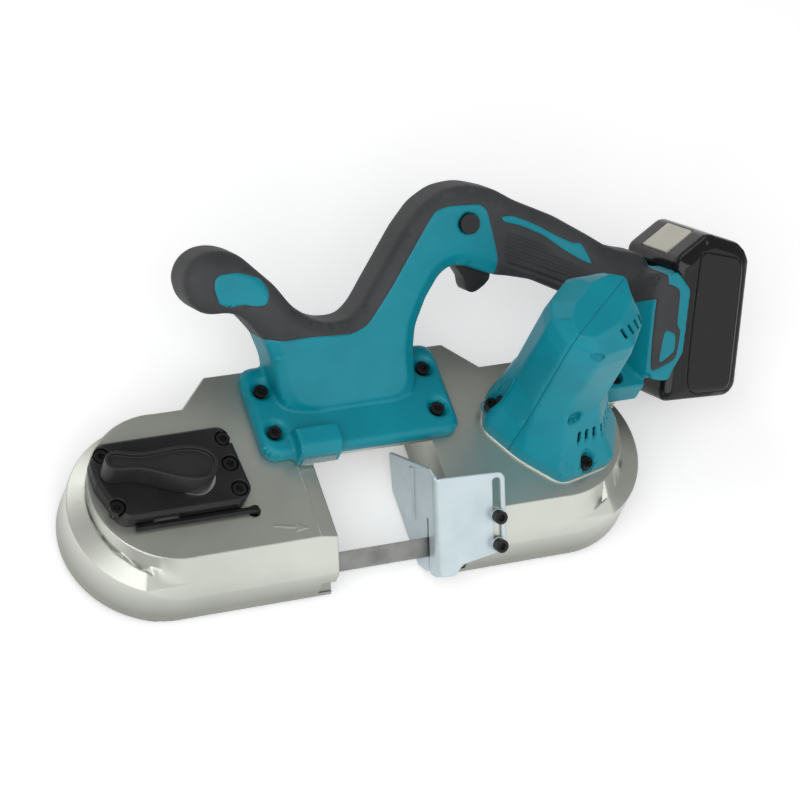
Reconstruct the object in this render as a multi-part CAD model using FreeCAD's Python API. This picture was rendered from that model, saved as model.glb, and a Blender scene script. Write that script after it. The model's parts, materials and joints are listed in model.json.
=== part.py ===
import FreeCAD, Part
import math
import os

# Portable band saw with a tilted cutting plane, battery driven.
# X runs along the blade towards the battery, Y to the back, Z up along the wheel axes.
# The saw lies on its rubber bumpers at Z 0. Lengths are millimetres, angles degrees.

V = FreeCAD.Vector
PI = math.pi

# Driving dimensions
tilt = 46.0
overrun = 5.0
seat_gap = 0.05
run_gap = 0.05
move_gap = 0.4

# Blade and wheels
blade_width = 13.0
blade_thick = 0.6
blade_loop = 835.0
wheel_pitch = 103.0
wheel_mid_x = -2.0
wheel_y = 5.0
wheel_width = 14.0
tyre_thick = 2.0
wheel_rim = 7.0
wheel_web = 4.0
wheel_hub_r = 15.0
wheel_holes = 6
wheel_hole_r = 8.0
tooth_pitch = 1.8
tooth_depth = 0.9

# Frame casting
casting_height = 42.0
bumper_height = 6.0
top_wall = 6.0
side_wall = 4.0
rim_margin = 11.0
ledge_cover = 3.5
plateau_share = 0.2
shoulder_drop = 17.0
plateau_front = -38.5
plateau_back = 62.0
throat_left = -34.5
throat_right = 47.0
bridge_front = 17.0
bridge_back = 82.0
bridge_lip = 4.0
step_left = -86.0
step_right = 76.0
blade_drop = 23.5
cavity_drop = 15.0
channel_front = 5.0
slot_length = 30.0
slot_width = 9.0
ridge_width = 11.0
ridge_drop = 1.2
bumper_width = 9.0
bumper_inset = 1.5
bumper_groove = 3.0
bumper_span = 150.0
foot_pad_r = 9.0

# Blade tension plate, lever and carriage
plate_length = 94.0
plate_depth = 54.0
plate_height = 11.0
plate_mid_x = -129.0
plate_mid_y = 15.0
plate_corner = 8.0
plate_screw_dx = 78.0
plate_screw_dy = 35.5
lever_length = 58.0
lever_height = 17.0
lever_hub_r = 11.5
lever_wall = 2.0
lever_dish = 2.5
lever_x = -116.0
lever_y = 9.0
lever_ring_r = 13.0
lever_ring_height = 1.2
lever_shaft_r = 5.0
cam_r = 9.0
cam_throw = 3.0
cam_height = 3.5
cam_gap = 0.8
blade_gap = 0.3
blade_lead = 15.0
twist_steps = 6
carriage_width = 32.0
carriage_length = 46.0
carriage_height = 8.0
carriage_plate = 4.0
rail_thick = 2.0
rail_width = 6.0
lug_thick = 5.0
lug_width = 16.0
carriage_travel = 5.0
idler_axle_r = 6.0
key_size = 4.0
key_length = 78.0
key_leg = 18.0
key_hole_depth = 13.0
plate_bevel = 2.0
plate_notch_width = 17.0
plate_notch_depth = 2.5
lever_aim = 169.0

# Fasteners
m5_head_r = 4.25
m5_head_height = 5.0
m5_shank_r = 2.5
m5_length = 16.0
socket_share = 0.55
socket_depth = 2.5
washer_height = 1.2
washer_r = 4.8

# Work stop plate
stop_thick = 2.0
stop_x = 30.0
stop_width = 48.0
stop_rise = 25.0
stop_drop = 39.0
stop_corner = 5.0
stop_slot_length = 47.0
stop_slot_x = 72.0
stop_slot_top = 20.0
stop_bolt_pitch = 18.5
stop_bolt_drop = 4.5
stop_bolt_length = 9.0
stop_wall_back = 70.0
stop_rib_at = 32.0
stop_rib_width = 4.0
stop_rib_height = 1.2
stop_blade_slot = 4.0

# Blade guides
guide_length = 12.0
guide_slot_gap = 0.4
guide_front = 2.2
guide_back = 8.0
guide_low = 4.0
guide_high = 8.5

# Handle bracket, column, grip and foot, in the tilted plane
handle_offset = 39.0
handle_run = 300.0
handle_rise = 167.0
handle_half = 18.0
handle_round = 8.0
bracket_half = 66.0
bracket_front = 16.0
bracket_back = 81.0
bracket_thick = 9.0
bracket_corner = 9.0
bracket_screw_dx = 110.0
bracket_screw_dy = 30.0
grip_skin = 2.0
handle_corner = 26.0
rear_gap = 1.0
foot_half = 40.5
foot_reach = 32.0
foot_flat = 16.0
foot_corner = 7.0
inlay_depth = 1.2
pad_long = 18.0
pad_short = 11.0
pad_lean = -12.0
pad_points = 12
half_screw_length = 24.0
lamp_length = 28.0
lamp_depth = 17.0
lamp_height = 14.0
lens_thick = 1.6
lens_height = 6.0
trigger_width = 16.0
lock_r = 6.5
lock_reach = 3.0
lock_travel = 3.0

# Motor tower and gears
motor_x = 126.0
motor_y = 24.0
flange_x = 133.0
flange_y = 16.0
motor_split = 37.0
motor_height = 130.0
flange_height = 9.0
motor_wall = 3.0
tower_r = 31.0
crown_r = 25.0
tower_corner = 7.0
vent_width = 2.4
vent_length = 9.0
pocket_r = 4.4
pocket_depth = 5.0
stator_r = 24.0
stator_length = 44.0
rotor_r = 13.0
rotor_gap = 0.5
rotor_shaft_r = 4.0
fan_r = 22.0
fan_height = 8.0
fan_blades = 11
gear_mod_1 = 0.6
gear_mod_2 = 0.75
pinion_1_teeth = 10
gear_1_teeth = 50
pinion_2_teeth = 11
gear_2_teeth = 55
gear_face = 6.0
counter_r = 2.5
counter_foot = 5.0
cover_thick = 5.0
spindle_r = 6.0
bearing_r = 14.0
bearing_width = 7.0

# Battery pack
pack_length = 111.0
pack_width = 75.0
pack_height = 54.0
pack_lean = 8.0
pack_foot_x = 207.0
pack_foot_t = 14.0
pack_edge = 8.0
pack_button_travel = 3.0
cell_r = 9.1
cell_length = 65.0
cell_wall = 1.2
button_thick = 5.0
button_proud = 1.0
cheek_step = 1.0
rail_reach = 5.0

top_z = bumper_height + casting_height
wheel_r = wheel_pitch / 2
wheel_gap = (blade_loop - PI * wheel_pitch) / 2
left_x = wheel_mid_x - wheel_gap / 2
right_x = wheel_mid_x + wheel_gap / 2
blade_z = top_z - blade_drop
sin_t = math.sin(math.radians(tilt))
cos_t = math.cos(math.radians(tilt))
nodes = {}


def tilted(shape):
    """Place a shape drawn as x, back, up in the cutting plane into the saw."""
    shape.rotate(V(0, 0, 0), V(1, 0, 0), -tilt)
    shape.translate(V(0, 0, top_z))
    return shape


def flat(z):
    return lambda a, b: V(a, b, z)


def upright(y):
    return lambda a, b: V(a, y, b)


def across(x):
    return lambda a, b: V(x, a, b)


def loop(points, radius, place):
    """Closed wire through points with each corner rounded."""
    edges = []
    last = None
    first = None
    count = len(points)
    for i in range(count):
        here = V(points[i][0], points[i][1], 0)
        back = V(points[i - 1][0], points[i - 1][1], 0) - here
        ahead = V(points[(i + 1) % count][0], points[(i + 1) % count][1], 0) - here
        room = min(back.Length, ahead.Length) * 0.45
        back.normalize()
        ahead.normalize()
        half = back.getAngle(ahead) / 2
        cut = min(radius / math.tan(half), room)
        arc_r = cut * math.tan(half)
        start = here + back * cut
        end = here + ahead * cut
        middle = back + ahead
        middle.normalize()
        mid = here + middle * (arc_r / math.sin(half) - arc_r)
        ends = [place(p.x, p.y) for p in (start, mid, end)]
        if last is not None:
            edges.append(Part.LineSegment(last, ends[0]).toShape())
        else:
            first = ends[0]
        edges.append(Part.Arc(*ends).toShape())
        last = ends[2]
    edges.append(Part.LineSegment(last, first).toShape())
    return Part.Wire(edges)


def curve(points, place):
    """Closed smooth wire through points."""
    spline = Part.BSplineCurve()
    spline.interpolate([place(a, b) for a, b in points], PeriodicFlag=True)
    return Part.Wire([spline.toShape()])


def inset(points, depth):
    """Points moved inwards from each side of a closed outline."""
    count = len(points)
    area = sum(points[i - 1][0] * points[i][1] - points[i][0] * points[i - 1][1] for i in range(count))
    turn = 1 if area > 0 else -1
    moved = []
    for i in range(count):
        here = V(points[i][0], points[i][1], 0)
        back = here - V(points[i - 1][0], points[i - 1][1], 0)
        ahead = V(points[(i + 1) % count][0], points[(i + 1) % count][1], 0) - here
        back.normalize()
        ahead.normalize()
        normal_a = V(-back.y, back.x, 0) * turn
        normal_b = V(-ahead.y, ahead.x, 0) * turn
        middle = normal_a + normal_b
        share = max(normal_a.dot(middle), 0.5)
        p = here + middle * (depth / share)
        moved.append((p.x, p.y))
    return moved


def prism(points, radius, place, along):
    wire = loop(points, radius, place) if radius else polygon(points, place)
    return Part.Face(wire).extrude(along)


def polygon(points, place):
    corners = [place(a, b) for a, b in points]
    return Part.makePolygon(corners + corners[:1])


def pillow(points, radius, half, edge, middle):
    """Slab along the tilted plane's depth with rounded-over outer edges."""
    wires = []
    for turn in (0, 30, 60, 90):
        lift = edge * math.sin(math.radians(turn))
        pull = edge * (1 - math.sqrt(1 - (1 - lift / edge) ** 2))
        y = middle - half + lift
        wires.append(loop(inset(points, pull) if pull else points, radius, upright(y)))
    for turn in (90, 60, 30, 0):
        lift = edge * math.sin(math.radians(turn))
        pull = edge * (1 - math.sqrt(1 - (1 - lift / edge) ** 2))
        y = middle + half - lift
        wires.append(loop(inset(points, pull) if pull else points, radius, upright(y)))
    return Part.makeLoft(wires, True, True)


def disc(r, h, at, axis=V(0, 0, 1)):
    return Part.makeCylinder(r, h, at, axis)


def ring(outer, inner, h, at, axis=V(0, 0, 1)):
    return disc(outer, h, at, axis).cut(disc(inner, h + 2 * overrun, at - axis * overrun, axis))


def joined(shapes):
    whole = shapes[0]
    for shape in shapes[1:]:
        whole = whole.fuse(shape)
    return whole.removeSplitter()


def socket_screw(at, axis, head_r=m5_head_r, head_height=m5_head_height, shank_r=m5_shank_r, length=m5_length):
    """Cap screw whose head stands on the point along the axis."""
    body = disc(head_r, head_height, at, axis).fuse(disc(shank_r, length, at - axis * length, axis))
    return body.cut(disc(head_r * socket_share, socket_depth, at + axis * (head_height - socket_depth), axis))


def group(shapes):
    return Part.makeCompound(shapes)


def frame_wire(z, front, back, left_reach, right_reach, left_c, right_c):
    """Plan outline of the casting: two rounded housings joined by the bridge behind the throat."""
    at = flat(z)
    rise = bridge_back - back
    middle = (front + back) / 2
    corners = [(left_c, front), (throat_left, front), (throat_left, bridge_front), (throat_right, bridge_front),
               (throat_right, front), (right_c, front)]
    rear = [(right_c, back), (step_right + rise, back), (step_right, bridge_back), (step_left, bridge_back),
            (step_left - rise, back), (left_c, back)]
    edges = [Part.LineSegment(at(*a), at(*b)).toShape() for a, b in zip(corners, corners[1:])]
    edges.append(Part.Arc(at(*corners[-1]), at(right_reach, middle), at(*rear[0])).toShape())
    edges += [Part.LineSegment(at(*a), at(*b)).toShape() for a, b in zip(rear, rear[1:])]
    edges.append(Part.Arc(at(*rear[-1]), at(left_reach, middle), at(*corners[0])).toShape())
    return Part.Wire(edges)


def housing_room(z, height, centre_x, reach_x, inner_x, front, back):
    """Room inside one wheel housing, rounded at the outer end."""
    at = flat(z)
    middle = (front + back) / 2
    edges = [Part.LineSegment(at(centre_x, front), at(inner_x, front)).toShape(),
             Part.LineSegment(at(inner_x, front), at(inner_x, back)).toShape(),
             Part.LineSegment(at(inner_x, back), at(centre_x, back)).toShape(),
             Part.Arc(at(centre_x, back), at(reach_x, middle), at(centre_x, front)).toShape()]
    return Part.Face(Part.Wire(edges)).extrude(V(0, 0, height))


rim_r = wheel_r + rim_margin
shoulder_z = top_z - shoulder_drop
shoulder_front = plateau_front - shoulder_drop * math.tan(math.radians(tilt))
shoulder_left = left_x - rim_r + rim_margin
shoulder_right = right_x + rim_r - rim_margin
plateau_left = shoulder_left + rim_margin * plateau_share
plateau_right = shoulder_right - rim_margin * plateau_share
end_setback = rim_margin / 2
room_front = shoulder_front + side_wall
room_back = plateau_back - side_wall
room_top = top_z - cavity_drop
ledge_z = room_top + ledge_cover
gear_centre = gear_mod_2 * (pinion_2_teeth + gear_2_teeth) / 2
motor_centre = gear_mod_1 * (pinion_1_teeth + gear_1_teeth) / 2
plate_screws_at = [(plate_mid_x + sx * plate_screw_dx / 2, plate_mid_y + sy * plate_screw_dy / 2)
                   for sx in (-1, 1) for sy in (-1, 1)]
plate_screws_at.append((plate_mid_x + plate_length / 2 - 1.1 * plate_corner, plate_mid_y))
bracket_mid_y = (bracket_front + bracket_back) / 2
bracket_screws_at = [(sx * bracket_screw_dx / 2, bracket_mid_y + sy * bracket_screw_dy / 2)
                     for sx in (-1, 1) for sy in (-1, 1)]
blade_front = wheel_y - wheel_r
blade_back = wheel_y + wheel_r
foot_pad_x = right_x + rim_r * 0.8
foot_pad_y = wheel_y + rim_r * 0.42


def blade_turned(box, x):
    """Turn a box drawn at the front blade stretch into the cutting plane."""
    box.rotate(V(x, blade_front, blade_z), V(1, 0, 0), -tilt)
    return box


def make_casting():
    top = frame_wire(top_z, plateau_front, plateau_back, plateau_left, plateau_right,
                     left_x + end_setback, right_x - end_setback)
    shoulder = frame_wire(shoulder_z, shoulder_front, plateau_back, shoulder_left, shoulder_right,
                          left_x + end_setback, right_x - end_setback)
    ledge = frame_wire(ledge_z, shoulder_front, plateau_back, left_x - rim_r, right_x + rim_r, left_x, right_x)
    foot = frame_wire(bumper_height, shoulder_front - side_wall / 2, plateau_back, left_x - rim_r - side_wall / 4,
                      right_x + rim_r + side_wall / 4, left_x, right_x)
    plane_foot = plateau_front - top_z * math.tan(math.radians(tilt))
    above = [(plateau_front, top_z), (plane_foot, 0), (plane_foot - rim_r, 0), (plane_foot - rim_r, top_z)]
    band = Part.makeLoft([ledge, foot], True, True)
    band = band.cut(prism(above, 0, across(-blade_loop), V(2 * blade_loop, 0, 0)))
    body = Part.makeLoft([top, shoulder], True, True).fuse(band)
    body = body.fuse(disc(foot_pad_r, top_z - ledge_z, V(foot_pad_x, foot_pad_y, ledge_z)))
    under = casting_height - bridge_lip
    run = under / math.tan(math.radians(tilt))
    low = bumper_height
    underside = [(bridge_front - overrun, top_z - bridge_lip), (bridge_front, top_z - bridge_lip),
                 (bridge_front + run, low), (bridge_front + run, low - overrun),
                 (bridge_front - overrun, low - overrun)]
    body = body.cut(prism(underside, 0, across(throat_left), V(throat_right - throat_left, 0, 0)))
    room_height = room_top - bumper_height
    for centre, reach, inner in ((left_x, left_x - rim_r + side_wall, throat_left - side_wall),
                                 (right_x, right_x + rim_r - side_wall, throat_right + side_wall)):
        room = housing_room(bumper_height - overrun, room_height + overrun, centre, reach, inner,
                            room_front, room_back)
        body = body.cut(room)
    channel = Part.makeBox(throat_right - throat_left + 4 * side_wall, room_back - blade_back + channel_front,
                           room_height + overrun,
                           V(throat_left - 2 * side_wall, blade_back - channel_front, bumper_height - overrun))
    body = body.cut(channel)
    for x in (throat_left - side_wall - overrun, throat_right - overrun):
        slot = Part.makeBox(side_wall + 2 * overrun, slot_width, slot_length,
                            V(x, blade_front - slot_width / 2, blade_z - slot_length * 0.62))
        body = body.cut(blade_turned(slot, x))
    tension_room = Part.makeBox(carriage_length + 2 * carriage_travel + 2 * move_gap, carriage_width + 2 * move_gap,
                                carriage_height + 2 * move_gap + seat_gap,
                                V(left_x - carriage_length / 2 - move_gap - carriage_travel,
                                  wheel_y - carriage_width / 2 - move_gap, room_top - seat_gap))
    body = body.cut(tension_room)
    body = body.cut(disc(lever_shaft_r + run_gap, top_wall * 3, V(lever_x, lever_y, room_top)))
    body = body.cut(disc(cam_r + cam_throw + move_gap, carriage_height + 2 * move_gap + seat_gap,
                         V(lever_x, lever_y, room_top - seat_gap)))
    body = body.cut(disc(bearing_r, cavity_drop + overrun, V(right_x, wheel_y, room_top)))
    for x, y in plate_screws_at + bracket_screws_at:
        body = body.cut(disc(m5_shank_r + seat_gap, m5_length, V(x, y, top_z - m5_length + overrun)))
    for k in (0, 1):
        at = stop_bolt_place(k)
        body = body.cut(disc(m5_shank_r + seat_gap, m5_length, at, stop_axis * -1))
    ridge_x = throat_left - ridge_width
    ridge = [(ridge_x, top_z), (throat_left + overrun, top_z - ridge_drop * (1 + overrun / ridge_width)),
             (throat_left + overrun, top_z + overrun), (ridge_x, top_z + overrun)]
    body = body.cut(prism(ridge, 0, upright(shoulder_front), V(0, bridge_front - overrun - shoulder_front, 0)))
    for span in bumper_spans():
        body = body.cut(bumper_solid(span, bumper_height, bumper_height + bumper_groove + seat_gap))
    return body.removeSplitter()


stop_axis = V(0, -cos_t, sin_t)
stop_up = V(0, sin_t, cos_t)


def stop_bolt_place(k):
    """Point on the slanted front face under one stop bolt."""
    down = stop_bolt_drop + k * stop_bolt_pitch
    return V(stop_slot_x, plateau_front, top_z) - stop_up * down


def bumper_spans():
    return ((left_x, -1), (right_x, 1))


def bumper_solid(span, low, high):
    """Curved rubber strip under the rounded end of one wheel housing."""
    x, side = span
    outer = rim_r - bumper_inset
    inner = outer - bumper_width + side_wall
    strip = ring(outer, inner, high - low, V(x, wheel_y, low))
    half = bumper_span / 2
    wedge = [(x, wheel_y)]
    reach = 2 * rim_r
    for share in (-1, -0.5, 0, 0.5, 1):
        angle = math.radians(half * share)
        wedge.append((x + side * reach * math.cos(angle), wheel_y + reach * math.sin(angle)))
    return strip.common(prism(wedge, 0, flat(low), V(0, 0, high - low)))


nodes["frame_casting"] = make_casting()
for name, span in zip(("left_bumper", "right_bumper"), bumper_spans()):
    nodes[name] = bumper_solid(span, 0, bumper_height + bumper_groove)


# Wheels, tyres and their shafts
tyre_r = wheel_r - blade_thick / 2 - blade_gap
rim_outer = tyre_r - tyre_thick
wheel_low = blade_z - wheel_width / 2
bearing_inner = spindle_r + run_gap
idler_bearing_r = 2 * idler_axle_r
hub_width = wheel_width * 0.8


def make_wheel(x, bore):
    """Spoked rim with a hub, web and lightening holes."""
    at = V(x, wheel_y, wheel_low)
    rim = ring(rim_outer, rim_outer - wheel_rim, wheel_width, at)
    web = disc(rim_outer, wheel_web, V(x, wheel_y, blade_z - wheel_web / 2))
    hub = disc(wheel_hub_r, hub_width, V(x, wheel_y, blade_z - hub_width / 2))
    wheel = joined([rim, web, hub])
    hole_at = (wheel_hub_r + rim_outer - wheel_rim) / 2
    for k in range(wheel_holes):
        angle = 2 * PI * k / wheel_holes
        place = V(x + hole_at * math.cos(angle), wheel_y + hole_at * math.sin(angle), wheel_low)
        wheel = wheel.cut(disc(wheel_hole_r, wheel_width, place))
    return wheel.cut(disc(bore, wheel_width, at))


for name, x, bore in (("drive", right_x, spindle_r), ("idler", left_x, idler_bearing_r)):
    nodes[name + "_wheel"] = make_wheel(x, bore)
    nodes[name + "_tyre"] = ring(tyre_r, rim_outer, wheel_width, V(x, wheel_y, wheel_low))
spindle_low = blade_z - hub_width / 2
gear_2_low = top_z + run_gap + seat_gap * 8
gear_1_low = gear_2_low + gear_face + 2 * move_gap
spindle_high = gear_2_low + gear_face
nodes["drive_spindle"] = disc(spindle_r, spindle_high - spindle_low, V(right_x, wheel_y, spindle_low))
nodes["drive_bolt"] = disc(wheel_hub_r * 0.6, m5_head_height, V(right_x, wheel_y, spindle_low - m5_head_height))
nodes["spindle_bearings"] = group([ring(bearing_r - seat_gap, bearing_inner, bearing_width, V(right_x, wheel_y, z))
                                   for z in (room_top, top_z - bearing_width)])
idler_low = wheel_low - 2 * washer_height
axle_high = room_top + carriage_plate
nodes["idler_axle"] = disc(idler_axle_r, axle_high - idler_low, V(left_x, wheel_y, idler_low))
nodes["idler_bearing"] = ring(idler_bearing_r, idler_axle_r + run_gap, hub_width,
                              V(left_x, wheel_y, blade_z - hub_width / 2))
nodes["idler_clip"] = ring(idler_axle_r * 1.5, idler_axle_r, washer_height, V(left_x, wheel_y, idler_low))


# Blade loop with fine teeth on the stretch in the throat
def blade_section(x, turn):
    half = blade_width / 2
    thick = blade_thick / 2
    corners = [V(x, y, z) for y, z in ((-thick, -half), (thick, -half), (thick, half), (-thick, half))]
    wire = Part.makePolygon(corners + corners[:1])
    wire.rotate(V(0, 0, 0), V(1, 0, 0), -turn)
    wire.translate(V(0, blade_front, blade_z))
    return wire


guide_left = throat_left - side_wall - guide_length
guide_right = throat_right + side_wall + guide_length


def blade_twist(start, end, turn_start, turn_end):
    wires = []
    for k in range(twist_steps + 1):
        share = k / twist_steps
        wires.append(blade_section(start + (end - start) * share, turn_start + (turn_end - turn_start) * share))
    return Part.makeLoft(wires, True, True)


def make_return_run():
    """Blade over both wheels and along the back of the frame."""
    half = blade_width / 2
    pieces = []
    for x, side in ((left_x, -1), (right_x, 1)):
        band = ring(wheel_r + blade_thick / 2, wheel_r - blade_thick / 2, blade_width,
                    V(x, wheel_y, blade_z - half))
        keep = Part.makeBox(2 * wheel_r, 4 * wheel_r, 4 * wheel_r,
                            V(x if side > 0 else x - 2 * wheel_r, wheel_y - 2 * wheel_r, blade_z - 2 * wheel_r))
        pieces.append(band.common(keep))
    pieces.append(Part.makeBox(wheel_gap, blade_thick, blade_width,
                               V(left_x, blade_back - blade_thick / 2, blade_z - half)))
    return pieces[0].multiFuse(pieces[1:])


def make_cutting_run():
    """Blade along the front, turned into the cutting plane and toothed in the throat."""
    half = blade_width / 2
    lead_left = left_x + blade_lead
    lead_right = right_x - blade_lead
    pieces = [Part.makeLoft([blade_section(left_x, 0), blade_section(lead_left, 0)], True, True),
              blade_twist(lead_left, guide_left, 0, tilt)]
    points = [(guide_left, half), (guide_left, -half)]
    run = guide_right - guide_left
    count = int(run / tooth_pitch)
    for k in range(1, count):
        x = guide_left + run * k / count
        points.append((x, -half))
        points.append((x, -half + tooth_depth))
    points += [(guide_right, -half), (guide_right, half)]
    cutting = prism(points, 0, upright(-blade_thick / 2), V(0, blade_thick, 0))
    cutting.rotate(V(0, 0, 0), V(1, 0, 0), -tilt)
    cutting.translate(V(0, blade_front, blade_z))
    pieces.append(cutting)
    pieces.append(blade_twist(guide_right, lead_right, tilt, 0))
    pieces.append(Part.makeLoft([blade_section(lead_right, 0), blade_section(right_x, 0)], True, True))
    return pieces[0].multiFuse(pieces[1:])


nodes["blade_return_run"] = make_return_run()
nodes["blade_cutting_run"] = make_cutting_run()

# Guide blocks that hold the blade turned into the cutting plane
for name, x in (("left_guide", guide_left), ("right_guide", throat_right + side_wall)):
    block = Part.makeBox(guide_length, guide_front + guide_back, guide_low + guide_high,
                         V(x, blade_front - guide_front, blade_z - guide_low))
    gap = blade_thick / 2 + guide_slot_gap
    block = block.cut(Part.makeBox(guide_length, 2 * gap, guide_low + blade_width / 2 + guide_slot_gap,
                                   V(x, blade_front - gap, blade_z - guide_low)))
    nodes[name] = blade_turned(block, x)

# Idler carriage on its rails, pushed by the lever's cam
carriage_low = room_top + seat_gap
carriage_left = left_x - carriage_length / 2
lug_right = lever_x - cam_r - cam_throw - cam_gap
carriage = Part.makeBox(carriage_length, carriage_width, carriage_plate,
                        V(carriage_left, wheel_y - carriage_width / 2, carriage_low))
carriage = carriage.fuse(Part.makeBox(lug_thick, lug_width, carriage_height,
                                      V(lug_right - lug_thick, lever_y - lug_width / 2, carriage_low)))
axle_hole = disc(idler_axle_r, carriage_plate, V(left_x, wheel_y, carriage_low - seat_gap))
nodes["idler_carriage"] = carriage.cut(axle_hole).removeSplitter()
rails = []
for side in (-1, 1):
    edge = wheel_y + side * (carriage_width / 2 + move_gap)
    rails.append(Part.makeBox(carriage_length + 2 * carriage_travel, rail_width, rail_thick,
                              V(carriage_left - carriage_travel / 2, edge - rail_width / 2, room_top - rail_thick)))
nodes["carriage_rails"] = group(rails)

# Tension base plate, its lever, ring, cam and screws
plate_top = top_z + plate_height
plate_left = plate_mid_x - plate_length / 2
plate_right = plate_mid_x + plate_length / 2
plate_front_y = plate_mid_y - plate_depth / 2
plate_back_y = plate_mid_y + plate_depth / 2
plate_outline = [(plate_left, plate_mid_y + plate_depth * 0.3), (plate_left + plate_corner, plate_back_y),
                 (plate_right - plate_corner / 2, plate_back_y), (plate_right, plate_front_y + plate_corner),
                 (plate_right - plate_corner, plate_front_y), (plate_left + 1.2 * plate_corner, plate_front_y),
                 (plate_left, plate_mid_y)]
plate_screw_seat = plate_height * 0.6
lower = loop(plate_outline, plate_corner, flat(top_z))
upper = loop(plate_outline, plate_corner, flat(plate_top - plate_bevel))
crown = loop(inset(plate_outline, plate_bevel), plate_corner, flat(plate_top))
plate = Part.makeLoft([lower, upper, crown], True, True)
plate = plate.cut(disc(lever_shaft_r + run_gap, 2 * plate_height, V(lever_x, lever_y, top_z - overrun)))
for x, y in plate_screws_at:
    plate = plate.cut(disc(m5_head_r * 1.3, plate_height, V(x, y, top_z + plate_screw_seat)))
    plate = plate.cut(disc(m5_shank_r + seat_gap, plate_height, V(x, y, top_z)))
plate = plate.cut(Part.makeBox(plate_notch_width, plate_notch_depth + overrun, plate_height * 0.7,
                               V(plate_mid_x - plate_notch_width, plate_front_y - overrun, top_z)))
nodes["tension_base_plate"] = plate
nodes["plate_screws"] = group([socket_screw(V(x, y, top_z + plate_screw_seat), V(0, 0, 1), length=m5_length * 0.7,
                                            head_height=m5_head_height * 0.7) for x, y in plate_screws_at])
nodes["lever_ring"] = ring(lever_ring_r, lever_shaft_r + run_gap, lever_ring_height, V(lever_x, lever_y, plate_top))
lever_low = plate_top + lever_ring_height + seat_gap
lever_plan_shares = [(-0.19, 0.0), (-0.13, 0.7), (0.02, 1.0), (0.2, 0.98), (0.38, 0.78), (0.55, 0.56), (0.78, 0.53),
                     (0.96, 0.45), (1.0, 0.0)]
lever_side = [(x * lever_length, y * lever_hub_r) for x, y in lever_plan_shares]
lever_plan = lever_side + [(x, -y) for x, y in reversed(lever_side[1:-1])]
lever = Part.Face(curve(lever_plan, flat(lever_low))).extrude(V(0, 0, lever_height))
dish = Part.Face(curve(inset(lever_plan, lever_wall), flat(lever_low + lever_height - lever_dish)))
lever = lever.cut(dish.extrude(V(0, 0, lever_dish + overrun)))
lever.rotate(V(0, 0, 0), V(0, 0, 1), lever_aim)
lever.translate(V(lever_x, lever_y, 0))
nodes["tension_lever"] = lever
cam_low = carriage_low + carriage_plate + move_gap
shaft = disc(lever_shaft_r, lever_low - cam_low, V(lever_x, lever_y, cam_low))
nodes["lever_cam"] = shaft.fuse(disc(cam_r, cam_height, V(lever_x - cam_throw, lever_y, cam_low))).removeSplitter()

# Hex key stored along the plate's front edge, short leg down in its hole
key_y = plate_front_y - key_size / 2 - move_gap
key_z = top_z + key_size / 2 + seat_gap
key_x = plate_right + plate_corner * 0.3


def hex_bar(length, at, axis):
    points = [(key_size / math.sqrt(3) * math.cos(PI * k / 3), key_size / math.sqrt(3) * math.sin(PI * k / 3))
              for k in range(6)]
    bar = prism(points, 0, flat(0), V(0, 0, length))
    bar.rotate(V(0, 0, 0), V(0, 0, 1), 30)
    bar.Placement = FreeCAD.Placement(at, FreeCAD.Rotation(V(0, 0, 1), axis)).multiply(bar.Placement)
    return bar


key = hex_bar(key_length, V(key_x, key_y, key_z), V(-1, 0, 0)).fuse(
    hex_bar(key_leg - key_size / 2, V(key_x - key_size / 2, key_y, key_z + key_size / 2), V(0, 0, -1)))
nodes["hex_key"] = key.removeSplitter()
key_hole = disc(key_size, key_hole_depth + overrun, V(key_x - key_size / 2, key_y, top_z - key_hole_depth))
nodes["frame_casting"] = nodes["frame_casting"].cut(key_hole)

# Work stop plate on the slanted front face, drawn in the tilted plane
face_y = plateau_front * cos_t
edge_t = plateau_front * sin_t
flange_right = stop_x + stop_width
flange = [(stop_x, stop_rise), (flange_right, stop_rise - tooth_pitch), (flange_right, -stop_drop * 0.7),
          (stop_x + stop_width * 0.36, -stop_drop * 0.84), (stop_x + stop_width * 0.27, -stop_drop),
          (stop_x, -stop_drop)]
flange = [(x, t + edge_t) for x, t in flange]
stop = prism(flange, stop_corner, upright(face_y - stop_thick - seat_gap), V(0, stop_thick, 0))
wall_y = face_y - stop_thick - seat_gap
wall_shares = [(0, 1), (0.11, 1.2), (1, 1.04), (0.95, 0.05)]
wall_low_shares = [(0.57, -0.7), (0.42, -0.98), (0, -1)]
wall = [(y * stop_wall_back, t * stop_rise) for y, t in wall_shares]
wall += [(y * stop_wall_back, t * stop_drop) for y, t in wall_low_shares]
wall = [(y + wall_y, t + edge_t) for y, t in wall]
stop = stop.fuse(prism(wall, stop_thick, across(stop_x), V(stop_thick, 0, 0)))
rib_low = edge_t - stop_drop / 4
stop = stop.fuse(Part.makeBox(stop_rib_height, stop_rib_width, stop_rise + stop_drop / 4,
                              V(stop_x - stop_rib_height, wall_y + stop_rib_at, rib_low)))
blade_y = blade_front * cos_t + blade_drop * sin_t
stop = stop.cut(Part.makeBox(stop_thick + 2 * overrun, stop_blade_slot, stop_drop * 0.92 + overrun,
                             V(stop_x - overrun, blade_y - stop_blade_slot / 2, edge_t - stop_drop - overrun)))
slot_r = m5_shank_r + seat_gap * 4
slot_low = stop_slot_top - stop_slot_length
slot_points = [(stop_slot_x + sx * slot_r, edge_t + t) for sx, t in ((-1, stop_slot_top), (1, stop_slot_top),
                                                                     (1, slot_low), (-1, slot_low))]
stop = stop.cut(prism(slot_points, slot_r * 0.98, upright(wall_y - overrun), V(0, stop_thick + 2 * overrun, 0)))
nodes["work_stop_plate"] = tilted(stop.removeSplitter())
bolts = []
washers = []
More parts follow.
